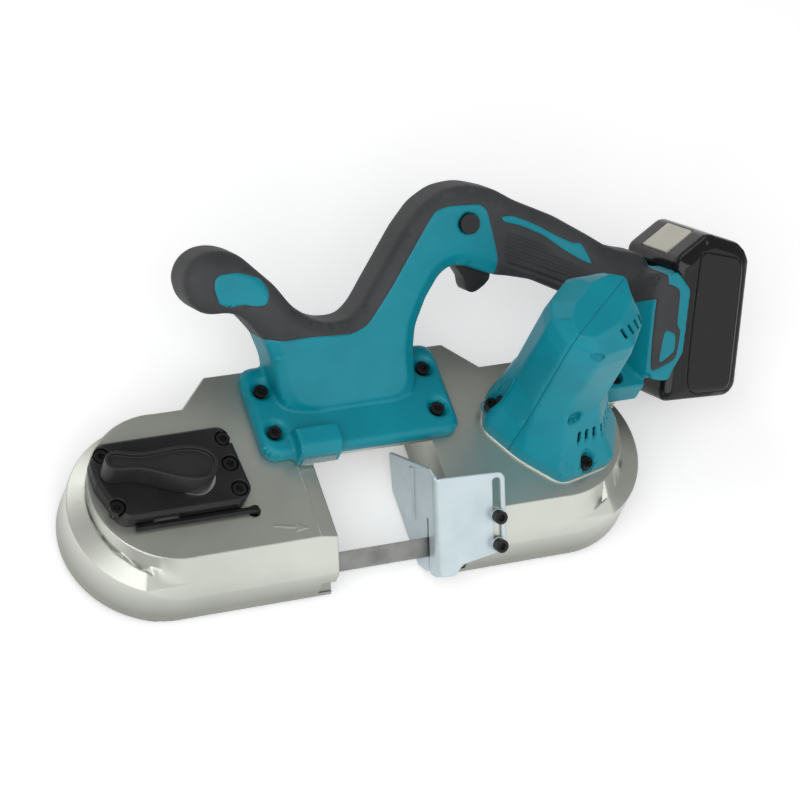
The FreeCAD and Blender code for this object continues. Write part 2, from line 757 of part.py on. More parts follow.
for k in (0, 1):
    at = stop_bolt_place(k) + stop_axis * (stop_thick + 2 * seat_gap)
    washers.append(ring(washer_r, m5_shank_r, washer_height, at, stop_axis))
    bolts.append(socket_screw(at + stop_axis * washer_height, stop_axis, length=stop_bolt_length))
nodes["stop_washers"] = group(washers)
nodes["stop_bolts"] = group(bolts)


# Handle, drawn in the tilted plane as shares of its run and rise
pack_tan = math.tan(math.radians(pack_lean))
foot_low_t = handle_rise * 0.2
rear_x = pack_foot_x - foot_flat / 2
rear_top_t = handle_rise * 0.64
rear_points = [(rear_x + (rear_top_t - pack_foot_t) * pack_tan, rear_top_t),
               (rear_x + (foot_low_t - pack_foot_t) * pack_tan, foot_low_t)]
knob_shares = [(-0.172, 0.43), (-0.19, 0.52), (-0.24, 0.628), (-0.31, 0.628), (-0.347, 0.683), (-0.357, 0.766),
               (-0.34, 0.83), (-0.308, 0.864), (-0.269, 0.866), (-0.23, 0.84), (-0.155, 0.709), (-0.118, 0.619),
               (-0.079, 0.569), (-0.047, 0.545), (0.002, 0.543), (0.03, 0.586), (0.088, 0.738), (0.132, 0.853),
               (0.175, 0.94), (0.226, 0.992), (0.284, 1.0), (0.345, 0.968), (0.39, 0.917), (0.483, 0.837),
               (0.561, 0.749), (0.61, 0.69), (0.645, 0.668)]
foot_shares = [(0.6, 0.24), (0.585, 0.455), (0.518, 0.517), (0.424, 0.603), (0.366, 0.63), (0.333, 0.642),
               (0.27, 0.69), (0.238, 0.7), (0.21, 0.672), (0.178, 0.59), (0.152, 0.49), (0.145, 0.4),
               (0.148, 0.192), (-0.153, 0.192)]


def handle_points(shares):
    return [(x * handle_run, t * handle_rise) for x, t in shares]


handle_outline = handle_points(knob_shares) + rear_points + handle_points(foot_shares)
front_y = handle_offset - handle_half
wide = 4 * handle_run


def bracket_solid():
    outline = [(-bracket_half, bracket_front), (bracket_half, bracket_front), (bracket_half, bracket_back),
               (-bracket_half, bracket_back)]
    bevel = bracket_thick / 3
    wires = [loop(outline, bracket_corner, flat(top_z)),
             loop(outline, bracket_corner, flat(top_z + bracket_thick - bevel)),
             loop(inset(outline, bevel), bracket_corner, flat(top_z + bracket_thick))]
    return Part.makeLoft(wires, True, True)


lamp_left = -bracket_half * 0.7
lamp_front = bracket_front - lamp_depth * 0.3
lamp_top = top_z + bracket_thick + lamp_height * 0.7
lamp_outline = [(lamp_front, top_z + seat_gap), (lamp_front, lamp_top - lamp_height * 0.3),
                (lamp_front + lamp_depth * 0.3, lamp_top), (lamp_front + lamp_depth, lamp_top),
                (lamp_front + lamp_depth * 1.3, top_z + seat_gap)]
trigger_shares = [(0.262, 0.677), (0.326, 0.653), (0.32, 0.6), (0.305, 0.56), (0.29, 0.585), (0.275, 0.635)]
lock_at = (0.273 * handle_run, 0.859 * handle_rise)


def region(shares):
    """Prism across the whole handle that cuts one colour region out of it."""
    points = [(x * handle_run, t * handle_rise) for x, t in shares]
    return prism(points, 0, upright(-wide), V(0, 2 * wide, 0))


pad_shares = (-0.24, 0.722)
inlay_shares = [(0.349, 0.869), (0.376, 0.867), (0.43, 0.821), (0.476, 0.769), (0.515, 0.732), (0.535, 0.73),
                (0.561, 0.638), (0.53, 0.667), (0.491, 0.714), (0.445, 0.779), (0.391, 0.828), (0.353, 0.849)]
badge_shares = [(0.684, 0.55), (0.716, 0.56), (0.708, 0.37), (0.688, 0.24), (0.668, 0.235), (0.675, 0.45)]
half_screw_shares = [(-0.28, 0.75), (0.01, 0.4), (0.2, 0.72), (0.47, 0.65), (0.63, 0.42)]
knob_region_shares = [(-0.5, 0.5), (-0.196, 0.519), (-0.149, 0.504), (-0.089, 0.507), (-0.05, 0.502), (-0.05, 1.2),
                      (-0.5, 1.2)]
band_region_shares = [(-0.05, 0.502), (-0.001, 0.496), (0.037, 0.522), (0.092, 0.647), (0.145, 0.786),
                      (0.197, 0.919), (0.23, 0.933), (0.23, 1.2), (-0.05, 1.2)]
grip_region_shares = [(0.23, 0.933), (0.3, 0.926), (0.316, 0.902), (0.327, 0.817), (0.338, 0.718), (0.33, 0.4),
                      (0.585, 0.44), (0.64, 0.565), (0.712, 0.59), (0.712, 1.2), (0.23, 1.2)]
pack_half = pack_width / 2
flare_levels = [(foot_reach, 0.43, 0.24, 0.68), (foot_reach * 0.87, 0.5, 0.22, 0.7),
                (foot_reach * 0.75, 0.64, 0.2, 0.72), (foot_reach * 0.62, 0.84, 0.17, 0.74),
                (foot_flat, 0.97, 0.15, 0.76), (rear_gap, 1, 0.14, 0.78)]
cheek_shares = [(-0.26, 0.76), (-0.02, 0.78), (0.17, 0.68), (0.157, 0.31), (-0.02, 0.14), (-0.26, 0.15)]


def pack_placed(shape):
    """Lean a shape drawn beside the upright pack into the tilted plane."""
    shape.rotate(V(0, 0, 0), V(0, 1, 0), pack_lean)
    shape.translate(V(pack_foot_x, handle_offset, pack_foot_t))
    return shape


flare_wires = []
for ahead, share, low, high in flare_levels:
    y = foot_half * share
    corners = [(-y, low * pack_length), (y, low * pack_length), (y, high * pack_length), (-y, high * pack_length)]
    flare_wires.append(loop(corners, foot_corner, across(-ahead)))
flare = Part.makeLoft(flare_wires, True, True)
cheek_points = [(x * pack_height, z * pack_length) for x, z in cheek_shares]
cheek_thick = foot_half - pack_half - move_gap
for y in (-foot_half, foot_half - cheek_thick):
    flare = flare.fuse(prism(cheek_points, foot_corner / 2, upright(y), V(0, cheek_thick, 0)))
flare = pack_placed(flare.removeSplitter())
whole = pillow(handle_outline, handle_corner, handle_half, handle_round, handle_offset).fuse(flare)
inner = pillow(inset(handle_outline, grip_skin), handle_corner - grip_skin, handle_half - grip_skin,
               handle_round - grip_skin / 2, handle_offset)
knob_cut = region(knob_region_shares)
grip_cut = region(band_region_shares).fuse(region(grip_region_shares))
trigger_points = handle_points(trigger_shares)
pocket_top = 0.76 * handle_rise
trigger_room = [(0.25 * handle_run, 0.6 * handle_rise), (0.25 * handle_run, pocket_top),
                (0.35 * handle_run, pocket_top), (0.35 * handle_run, 0.55 * handle_rise)]
pocket = prism(trigger_room, 0, upright(handle_offset - trigger_width / 2 - move_gap),
               V(0, trigger_width + 2 * move_gap, 0))
lock_bore = disc(lock_r + run_gap, handle_half, V(lock_at[0], front_y - overrun, lock_at[1]), V(0, 1, 0))
knob = whole.common(knob_cut).cut(inner)
grip = whole.common(grip_cut).cut(inner).cut(pocket).cut(lock_bore)
core = whole.cut(knob_cut).cut(grip_cut).fuse(inner.common(knob_cut.fuse(grip_cut)))
core = core.cut(pocket).cut(lock_bore)
switch_box = [(0.29 * handle_run, 0.77 * handle_rise), (0.29 * handle_run, 0.87 * handle_rise),
              (0.4 * handle_run, 0.83 * handle_rise), (0.4 * handle_run, 0.74 * handle_rise)]
switch = prism(switch_box, 0, upright(handle_offset - trigger_width / 2), V(0, trigger_width, 0))
core = core.cut(switch)
nodes["switch_unit"] = tilted(switch)
nodes["trigger"] = tilted(prism(trigger_points, grip_skin, upright(handle_offset - trigger_width / 2),
                                V(0, trigger_width, 0)))
lock_length = handle_offset - trigger_width / 2 - lock_travel - move_gap - front_y + lock_reach
nodes["lock_button"] = tilted(disc(lock_r, lock_length, V(lock_at[0], front_y - lock_reach, lock_at[1]),
                                   V(0, 1, 0)))
front_skin = V(0, handle_half, 0)
pad_x, pad_t = pad_shares[0] * handle_run, pad_shares[1] * handle_rise
pad_oval = [V(pad_long * math.cos(2 * PI * k / pad_points), pad_short * math.sin(2 * PI * k / pad_points), 0)
            for k in range(pad_points)]
pad_turn = FreeCAD.Rotation(V(0, 0, 1), pad_lean)
pad_oval = [(pad_x + p.x, pad_t + p.y) for p in (pad_turn.multVec(q) for q in pad_oval)]
knob_pad = Part.Face(curve(pad_oval, upright(front_y - overrun))).extrude(front_skin)
inlay_cut = prism(handle_points(inlay_shares), grip_skin, upright(front_y - overrun), front_skin)
badge_cut = prism(handle_points(badge_shares), grip_skin, upright(handle_offset - foot_half - overrun),
                  V(0, overrun + 2 * inlay_depth, 0))
nodes["knob_inset"] = tilted(knob.common(knob_pad))
knob = knob.cut(knob_pad)
nodes["grip_inlay"] = tilted(grip.common(inlay_cut))
grip = grip.cut(inlay_cut)
nodes["foot_badge"] = tilted(core.common(badge_cut))
core = core.cut(badge_cut)
half_screws = []
screw_seat = handle_offset + handle_half - m5_head_height - grip_skin
for x, t in handle_points(half_screw_shares):
    at = V(x, screw_seat, t)
    half_screws.append(socket_screw(at, V(0, 1, 0), length=half_screw_length))
    core = core.cut(disc(m5_head_r * 1.3, handle_half, at, V(0, 1, 0)))
    core = core.cut(disc(m5_shank_r + seat_gap, half_screw_length, at - V(0, half_screw_length, 0), V(0, 1, 0)))
    grip = grip.cut(disc(m5_head_r * 1.3, handle_half, at, V(0, 1, 0)))
    knob = knob.cut(disc(m5_head_r * 1.3, handle_half, at, V(0, 1, 0)))
nodes["handle_screws"] = tilted(group(half_screws))
nodes["knob_overmould"] = tilted(knob)
nodes["grip_overmould"] = tilted(grip)
core = tilted(core)
below = Part.makeBox(wide, wide, wide, V(-wide / 2, -wide / 2, top_z - wide))
front_block = Part.makeBox(wide, wide, wide, V(-wide / 2, handle_offset - wide, -wide / 2))
column_only = Part.makeBox(2 * bracket_half, wide, wide, V(-bracket_half, -wide / 2, -wide / 2))
core = core.cut(below.common(column_only))
core = core.fuse(bracket_solid()).fuse(prism(lamp_outline, 0, across(lamp_left), V(lamp_length, 0, 0)))
lens = Part.makeBox(lamp_length * 0.8, lens_thick, lens_height,
                    V(lamp_left + lamp_length * 0.1, lamp_front - lens_thick / 4, top_z + lens_height / 3))
core = core.cut(lens)
nodes["lamp_lens"] = lens
lug_low = top_z + seat_gap
foot_lug = Part.makeBox(rear_x - foot_pad_x + foot_pad_r - overrun, 2 * foot_pad_r, 2 * foot_pad_r,
                        V(foot_pad_x - foot_pad_r, foot_pad_y - foot_pad_r, lug_low))
core = core.fuse(foot_lug)
for x, y in bracket_screws_at:
    core = core.cut(disc(m5_head_r * 1.3, wide, V(x, y, top_z + bracket_thick * 0.4)))
    core = core.cut(Part.makeCone(m5_head_r * 1.3, m5_head_r * 1.9, bracket_thick * 0.35,
                                  V(x, y, top_z + bracket_thick * 0.65)))
    core = core.cut(disc(m5_shank_r + seat_gap, bracket_thick, V(x, y, top_z - seat_gap)))
foot_screw_z = lug_low + foot_pad_r
core = core.cut(disc(m5_head_r * 1.3, wide, V(foot_pad_x, foot_pad_y, foot_screw_z)))
core = core.cut(disc(m5_shank_r + seat_gap, 2 * foot_pad_r, V(foot_pad_x, foot_pad_y, lug_low - seat_gap)))
nodes["frame_casting"] = nodes["frame_casting"].cut(
    disc(m5_shank_r + seat_gap, m5_length, V(foot_pad_x, foot_pad_y, foot_screw_z - m5_length - overrun / 2)))
core = core.cut(nodes["frame_casting"])
front_half = tilted(front_block.copy())
nodes["handle_front_half"] = core.common(front_half).removeSplitter()
nodes["handle_rear_half"] = core.cut(front_half).removeSplitter()
screws = [socket_screw(V(x, y, top_z + bracket_thick * 0.4), V(0, 0, 1), length=m5_length * 0.8,
                       head_height=m5_head_height * 0.7) for x, y in bracket_screws_at]
nodes["bracket_screws"] = group(screws)
nodes["foot_screw"] = socket_screw(V(foot_pad_x, foot_pad_y, foot_screw_z), V(0, 0, 1))

# Motor tower: flared flange, many-sided body and a smaller crown
base_shares = [(-1.65, 0.06), (-1.32, 0.77), (-0.48, 1.42), (0.4, 1.31), (1.04, 0.76), (1.2, -0.36), (0.8, -1.22),
               (-0.39, -1.48), (-1.1, -0.78)]
tower_levels = [(0, 0, 1), (flange_height, 0, 1), (2.4 * flange_height, 0.55, 1), (motor_height * 0.34, 1, 1),
                (motor_height * 0.8, 1, 1), (motor_height * 0.92, 1, 0.95), (motor_height, 1, crown_r / tower_r)]


def tower_section(z, blend, size, wall):
    """One plan section between the flange outline and the round tower."""
    points = []
    for x, y in base_shares:
        far = math.hypot(x, y)
        reach = tower_r * size
        flange_at = (flange_x + x * reach, flange_y + y * reach)
        tower_at = (motor_x + x / far * reach, motor_y + y / far * reach)
        points.append(tuple(a * (1 - blend) + b * blend for a, b in zip(flange_at, tower_at)))
    return loop(inset(points, wall), tower_corner, flat(top_z + seat_gap + z))


outside = Part.makeLoft([tower_section(z, blend, size, 0) for z, blend, size in tower_levels], True, True)
inside_levels = [(-seat_gap / 2, 0, 1)] + tower_levels[1:-1]
inside_levels.append((motor_height - 2 * motor_wall, 1, crown_r / tower_r))
inside = Part.makeLoft([tower_section(z, blend, size, motor_wall) for z, blend, size in inside_levels], True, True)
tower = outside.cut(inside)
tower_screw_shares = [(-1.4, 0.4), (0.14, -1.24), (0.3, 1.16)]
tower_screws_at = [(flange_x + x * tower_r, flange_y + y * tower_r) for x, y in tower_screw_shares]
boss_r = m5_head_r * 1.6
vent_rows = ((7, 0.16, -82, 9), (4, 0.72, -2, 10))
tower_seat = flange_height * 0.7
for x, y in tower_screws_at:
    post = disc(boss_r, flange_height * 1.4, V(x, y, top_z + seat_gap)).common(outside)
    tower = tower.fuse(post)
for x, y in tower_screws_at:
    tower = tower.cut(disc(m5_head_r * 1.3, wide, V(x, y, top_z + tower_seat)))
    tower = tower.cut(disc(m5_shank_r + seat_gap, flange_height, V(x, y, top_z)))
    nodes["frame_casting"] = nodes["frame_casting"].cut(
        disc(m5_shank_r + seat_gap, m5_length, V(x, y, top_z - m5_length + overrun)))
pocket_turns = (-93, -107)
pocket_height_shares = (0.315, 0.9)
for turn, share in zip(pocket_turns, pocket_height_shares):
    axis = V(math.cos(math.radians(turn)), math.sin(math.radians(turn)), 0)
    seat = V(motor_x, motor_y, top_z + share * motor_height) + axis * (tower_r - pocket_depth)
    post = disc(pocket_r + motor_wall / 2, pocket_depth + motor_wall, seat - axis * (motor_wall / 2), axis)
    tower = tower.fuse(post.common(outside)).cut(disc(pocket_r, pocket_depth + overrun, seat, axis))
lug_room = Part.makeBox(wide, 2 * foot_pad_r + 2 * move_gap, 2 * foot_pad_r + 2 * move_gap,
                        V(foot_pad_x - foot_pad_r - move_gap, foot_pad_y - foot_pad_r - move_gap, top_z))
tower = tower.cut(lug_room)
vents = []
for count, z, start, pitch in vent_rows:
    for k in range(count):
        angle = math.radians(start + pitch * k)
        vent = Part.makeBox(2 * tower_r, vent_width, vent_length, V(0, -vent_width / 2, 0))
        vent.rotate(V(0, 0, 0), V(0, 0, 1), math.degrees(angle))
        vent.translate(V(motor_x, motor_y, top_z + z * motor_height))
        vents.append(vent)
tower = tower.cut(group(vents))
half_space = Part.makeBox(wide, wide, wide, V(-wide / 2, -wide, -wide / 2))
half_space.rotate(V(0, 0, 0), V(0, 0, 1), motor_split)
half_space.translate(V(motor_x, motor_y, 0))
nodes["motor_housing_front"] = tower.common(half_space).removeSplitter()
nodes["motor_housing_rear"] = tower.cut(half_space).removeSplitter()
nodes["housing_screws"] = group([socket_screw(V(x, y, top_z + tower_seat), V(0, 0, 1), length=m5_length * 0.7)
                                 for x, y in tower_screws_at])

# Gear train from the motor to the drive spindle
to_motor = math.atan2(motor_y - wheel_y, motor_x - right_x)
reach = math.hypot(motor_x - right_x, motor_y - wheel_y)
lift = math.acos((gear_centre ** 2 + reach ** 2 - motor_centre ** 2) / (2 * gear_centre * reach))
counter_angle = to_motor - lift
counter_x = right_x + gear_centre * math.cos(counter_angle)
counter_y = wheel_y + gear_centre * math.sin(counter_angle)
addendum_share = 0.8
dedendum_share = 1.15
tooth_shares = ((-0.30, 0), (-0.11, 1), (0.11, 1), (0.30, 0))


def make_gear(teeth, module, z, x, y, aim, gap_first, bore):
    """Straight-toothed gear with a tooth, or a gap, on the aimed line."""
    pitch_r = teeth * module / 2
    tip_r = pitch_r + addendum_share * module
    root_r = pitch_r - dedendum_share * module
    points = []
    for k in range(teeth):
        middle = aim + 2 * PI * (k + (0.5 if gap_first else 0)) / teeth
        for share, out in tooth_shares:
            angle = middle + share * 2 * PI / teeth
            r = tip_r if out else root_r
            points.append((x + r * math.cos(angle), y + r * math.sin(angle)))
    gear = prism(points, 0, flat(z), V(0, 0, gear_face))
    return gear.cut(disc(bore, gear_face, V(x, y, z))) if bore else gear


nodes["spindle_gear"] = make_gear(gear_2_teeth, gear_mod_2, gear_2_low, right_x, wheel_y, counter_angle, False,
                                  spindle_r)
counter_pinion = make_gear(pinion_2_teeth, gear_mod_2, gear_2_low, counter_x, counter_y, counter_angle + PI,
                           True, 0)
counter_neck = disc(pinion_2_teeth * gear_mod_2 * 0.35, gear_1_low - gear_2_low,
                    V(counter_x, counter_y, gear_2_low))
to_rotor = math.atan2(motor_y - counter_y, motor_x - counter_x)
counter_gear = make_gear(gear_1_teeth, gear_mod_1, gear_1_low, counter_x, counter_y, to_rotor, False, 0)
cover_low = gear_1_low + gear_face + move_gap
bush_high = cover_low + cover_thick
counter_low = top_z - counter_foot
counter_shaft = disc(counter_r, bush_high - counter_low, V(counter_x, counter_y, counter_low))
counter_hole = disc(counter_r + run_gap, 2 * counter_foot, V(counter_x, counter_y, counter_low - move_gap))
nodes["frame_casting"] = nodes["frame_casting"].cut(counter_hole)
nodes["counter_gear"] = joined([counter_pinion, counter_neck, counter_gear, counter_shaft])
nodes["motor_pinion"] = make_gear(pinion_1_teeth, gear_mod_1, gear_1_low, motor_x, motor_y, to_rotor + PI, True, 0)
cover = disc(3 * tower_r, cover_thick, V(motor_x, motor_y, cover_low)).common(inside)
cover = cover.cut(disc(counter_r + run_gap, cover_thick, V(counter_x, counter_y, cover_low)))
cover = cover.cut(disc(rotor_shaft_r + run_gap, cover_thick, V(motor_x, motor_y, cover_low)))
nodes["gear_cover"] = cover
stator_low = bush_high
nodes["motor_stator"] = ring(stator_r, rotor_r + rotor_gap, stator_length, V(motor_x, motor_y, stator_low))
rotor_low = stator_low + 2 * move_gap
rotor_high = motor_height * 0.86 + top_z
rotor = disc(rotor_shaft_r, rotor_high - gear_1_low - gear_face, V(motor_x, motor_y, gear_1_low + gear_face))
nodes["motor_rotor"] = rotor.fuse(disc(rotor_r, stator_length - 4 * move_gap, V(motor_x, motor_y, rotor_low))
                                  ).removeSplitter()
fan_low = stator_low + stator_length + 4 * move_gap
fan = disc(fan_r, fan_height * 0.2, V(motor_x, motor_y, fan_low)).fuse(
    disc(2 * rotor_shaft_r, fan_height, V(motor_x, motor_y, fan_low)))
for k in range(fan_blades):
    vane = Part.makeBox(fan_r * 0.9 - rotor_shaft_r * 1.5, fan_height * 0.12, fan_height,
                        V(rotor_shaft_r * 1.5, 0, fan_low))
    vane.rotate(V(0, 0, 0), V(0, 0, 1), 360 * k / fan_blades)
    vane.translate(V(motor_x, motor_y, 0))
    fan = fan.fuse(vane)
nodes["cooling_fan"] = fan.cut(disc(rotor_shaft_r, 2 * fan_height, V(motor_x, motor_y, fan_low - overrun)))
rear_bearing_low = rotor_high - bearing_width - move_gap
nodes["motor_bearing"] = ring(2 * rotor_shaft_r, rotor_shaft_r + run_gap, bearing_width,
                              V(motor_x, motor_y, rear_bearing_low))
carrier = disc(tower_r, bearing_width, V(motor_x, motor_y, rear_bearing_low)).common(inside)
spokes = Part.makeBox(2 * tower_r, 3 * rotor_shaft_r, bearing_width,
                      V(-tower_r, -1.5 * rotor_shaft_r, rear_bearing_low))
spokes.rotate(V(0, 0, 0), V(0, 0, 1), motor_split + 90)
spokes.translate(V(motor_x, motor_y, 0))
carrier = carrier.common(spokes.fuse(disc(3 * rotor_shaft_r, bearing_width, V(motor_x, motor_y, rear_bearing_low))))
nodes["bearing_bracket"] = carrier.cut(disc(2 * rotor_shaft_r, bearing_width,
                                            V(motor_x, motor_y, rear_bearing_low)))

# Battery pack, drawn upright and leaned into place in the tilted plane
slope_rise = pack_length * 0.16
slope_run = pack_height * 0.4
slope_low = pack_length - slope_rise
pack_outline = [(0, pack_length * 0.05), (0, slope_low), (slope_run, pack_length),
                (pack_height * 0.83, pack_length * 0.95), (pack_height * 0.93, pack_length * 0.91),
                (pack_height, pack_length * 0.85), (pack_height, pack_length * 0.1),
                (pack_height * 0.9, pack_length * 0.04), (pack_height * 0.04, 0)]


def leaned(shape):
    return tilted(pack_placed(shape))


pack = pillow(pack_outline, pack_edge, pack_half, pack_edge, 0)
for y in (-pack_half - overrun, pack_half - cheek_step):
    pack = pack.cut(Part.makeBox(pack_height * 0.23 + overrun, overrun + cheek_step, pack_length * 0.8,
                                 V(-overrun, y, 0)))
cell_pitch = 2 * cell_r + cell_wall
cells = []
cell_rooms = []
for row in range(2):
    for k in range(5):
        at = V(pack_height * 0.55 + (row - 0.5) * cell_pitch, -cell_length / 2,
               pack_length * 0.45 + row * cell_r / 2 + (k - 2) * cell_pitch * 0.95)
        cells.append(disc(cell_r, cell_length, at, V(0, 1, 0)))
        cell_rooms.append(disc(cell_r + seat_gap, cell_length, at, V(0, 1, 0)))
pack = pack.cut(group(cell_rooms[:5])).cut(group(cell_rooms[5:]))
slope = math.atan2(slope_rise, slope_run)
slope_length = math.hypot(slope_rise, slope_run)
button_width = pack_width * 0.42
button_length = slope_length * 0.8


def slope_box(length, width, thick, low):
    box = Part.makeBox(length, width, thick, V((slope_length - length) / 2, -width / 2, low))
    box.rotate(V(0, 0, 0), V(0, 1, 0), -math.degrees(slope))
    box.translate(V(0, 0, slope_low))
    return box


button = slope_box(button_length, button_width, button_thick, button_proud - button_thick)
pack = pack.cut(slope_box(button_length + 2 * move_gap, button_width + 2 * move_gap,
                          button_thick + pack_button_travel,
                          -button_thick - pack_button_travel + button_proud - move_gap))
rail_wide = pack_width * 0.36
rail_long = pack_length * 0.54
rail_low = pack_length * 0.16
rail = Part.makeBox(rail_reach, rail_wide, rail_long, V(-rail_reach, -rail_wide / 2, rail_low))
rail_room = Part.makeBox(rail_reach + move_gap + overrun, rail_wide + 2 * move_gap, 2 * pack_length,
                         V(-rail_reach - move_gap, -rail_wide / 2 - move_gap, rail_low - move_gap))
nodes["battery_case"] = leaned(pack.fuse(rail).removeSplitter())
nodes["battery_cells"] = leaned(group(cells))
nodes["battery_button"] = leaned(button)
rail_room = leaned(rail_room)
for name in ("handle_front_half", "handle_rear_half", "grip_overmould"):
    nodes[name] = nodes[name].cut(rail_room)

# Put the origin under the middle of the whole saw
whole_box = group(list(nodes.values())).optimalBoundingBox(False, False)
shift = V(-whole_box.Center.x, -whole_box.Center.y, -whole_box.ZMin)
for shape in nodes.values():
    shape.translate(shift)
print("shift", shift.x, shift.y, shift.z)
os.makedirs("parts", exist_ok=True)
for name, shape in nodes.items():
    shape.exportStep("parts/" + name + ".step")
    print(name, shape.isValid(), len(shape.Solids), round(shape.Volume))
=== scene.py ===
import json
import math
import bpy
import numpy as np
from mathutils import Matrix, Vector


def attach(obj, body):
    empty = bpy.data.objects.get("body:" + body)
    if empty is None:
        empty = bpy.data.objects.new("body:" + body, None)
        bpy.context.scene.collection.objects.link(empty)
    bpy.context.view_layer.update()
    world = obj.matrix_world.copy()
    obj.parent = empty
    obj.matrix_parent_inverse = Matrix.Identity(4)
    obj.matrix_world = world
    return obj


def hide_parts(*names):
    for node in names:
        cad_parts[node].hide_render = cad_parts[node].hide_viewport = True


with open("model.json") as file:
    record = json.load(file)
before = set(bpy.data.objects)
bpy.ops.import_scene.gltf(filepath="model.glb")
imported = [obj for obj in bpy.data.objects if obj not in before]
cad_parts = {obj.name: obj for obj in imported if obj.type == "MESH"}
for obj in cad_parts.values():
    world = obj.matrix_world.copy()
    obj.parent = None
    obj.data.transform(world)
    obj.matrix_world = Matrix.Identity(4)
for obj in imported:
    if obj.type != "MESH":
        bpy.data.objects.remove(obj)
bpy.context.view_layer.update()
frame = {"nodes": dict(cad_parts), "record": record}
nodes = frame["nodes"]
scene = bpy.context.scene
scene.view_settings.view_transform = "Standard"
print("frame loaded", len(nodes))

# The saw's own frame in metres: its origin, and back and up in the cutting plane from the casting's top
# In the dictionaries of finishes and pieces, lengths are millimetres and angles are degrees
tilt = math.radians(46)
planeUp = Vector((0, math.sin(tilt), math.cos(tilt)))
planeBack = Vector((0, math.cos(tilt), -math.sin(tilt)))
sawShift = Vector((-0.0400177, -0.0439913, 0))
planeOrigin = sawShift + Vector((0, 0, 0.048))
tiny = 1e-9

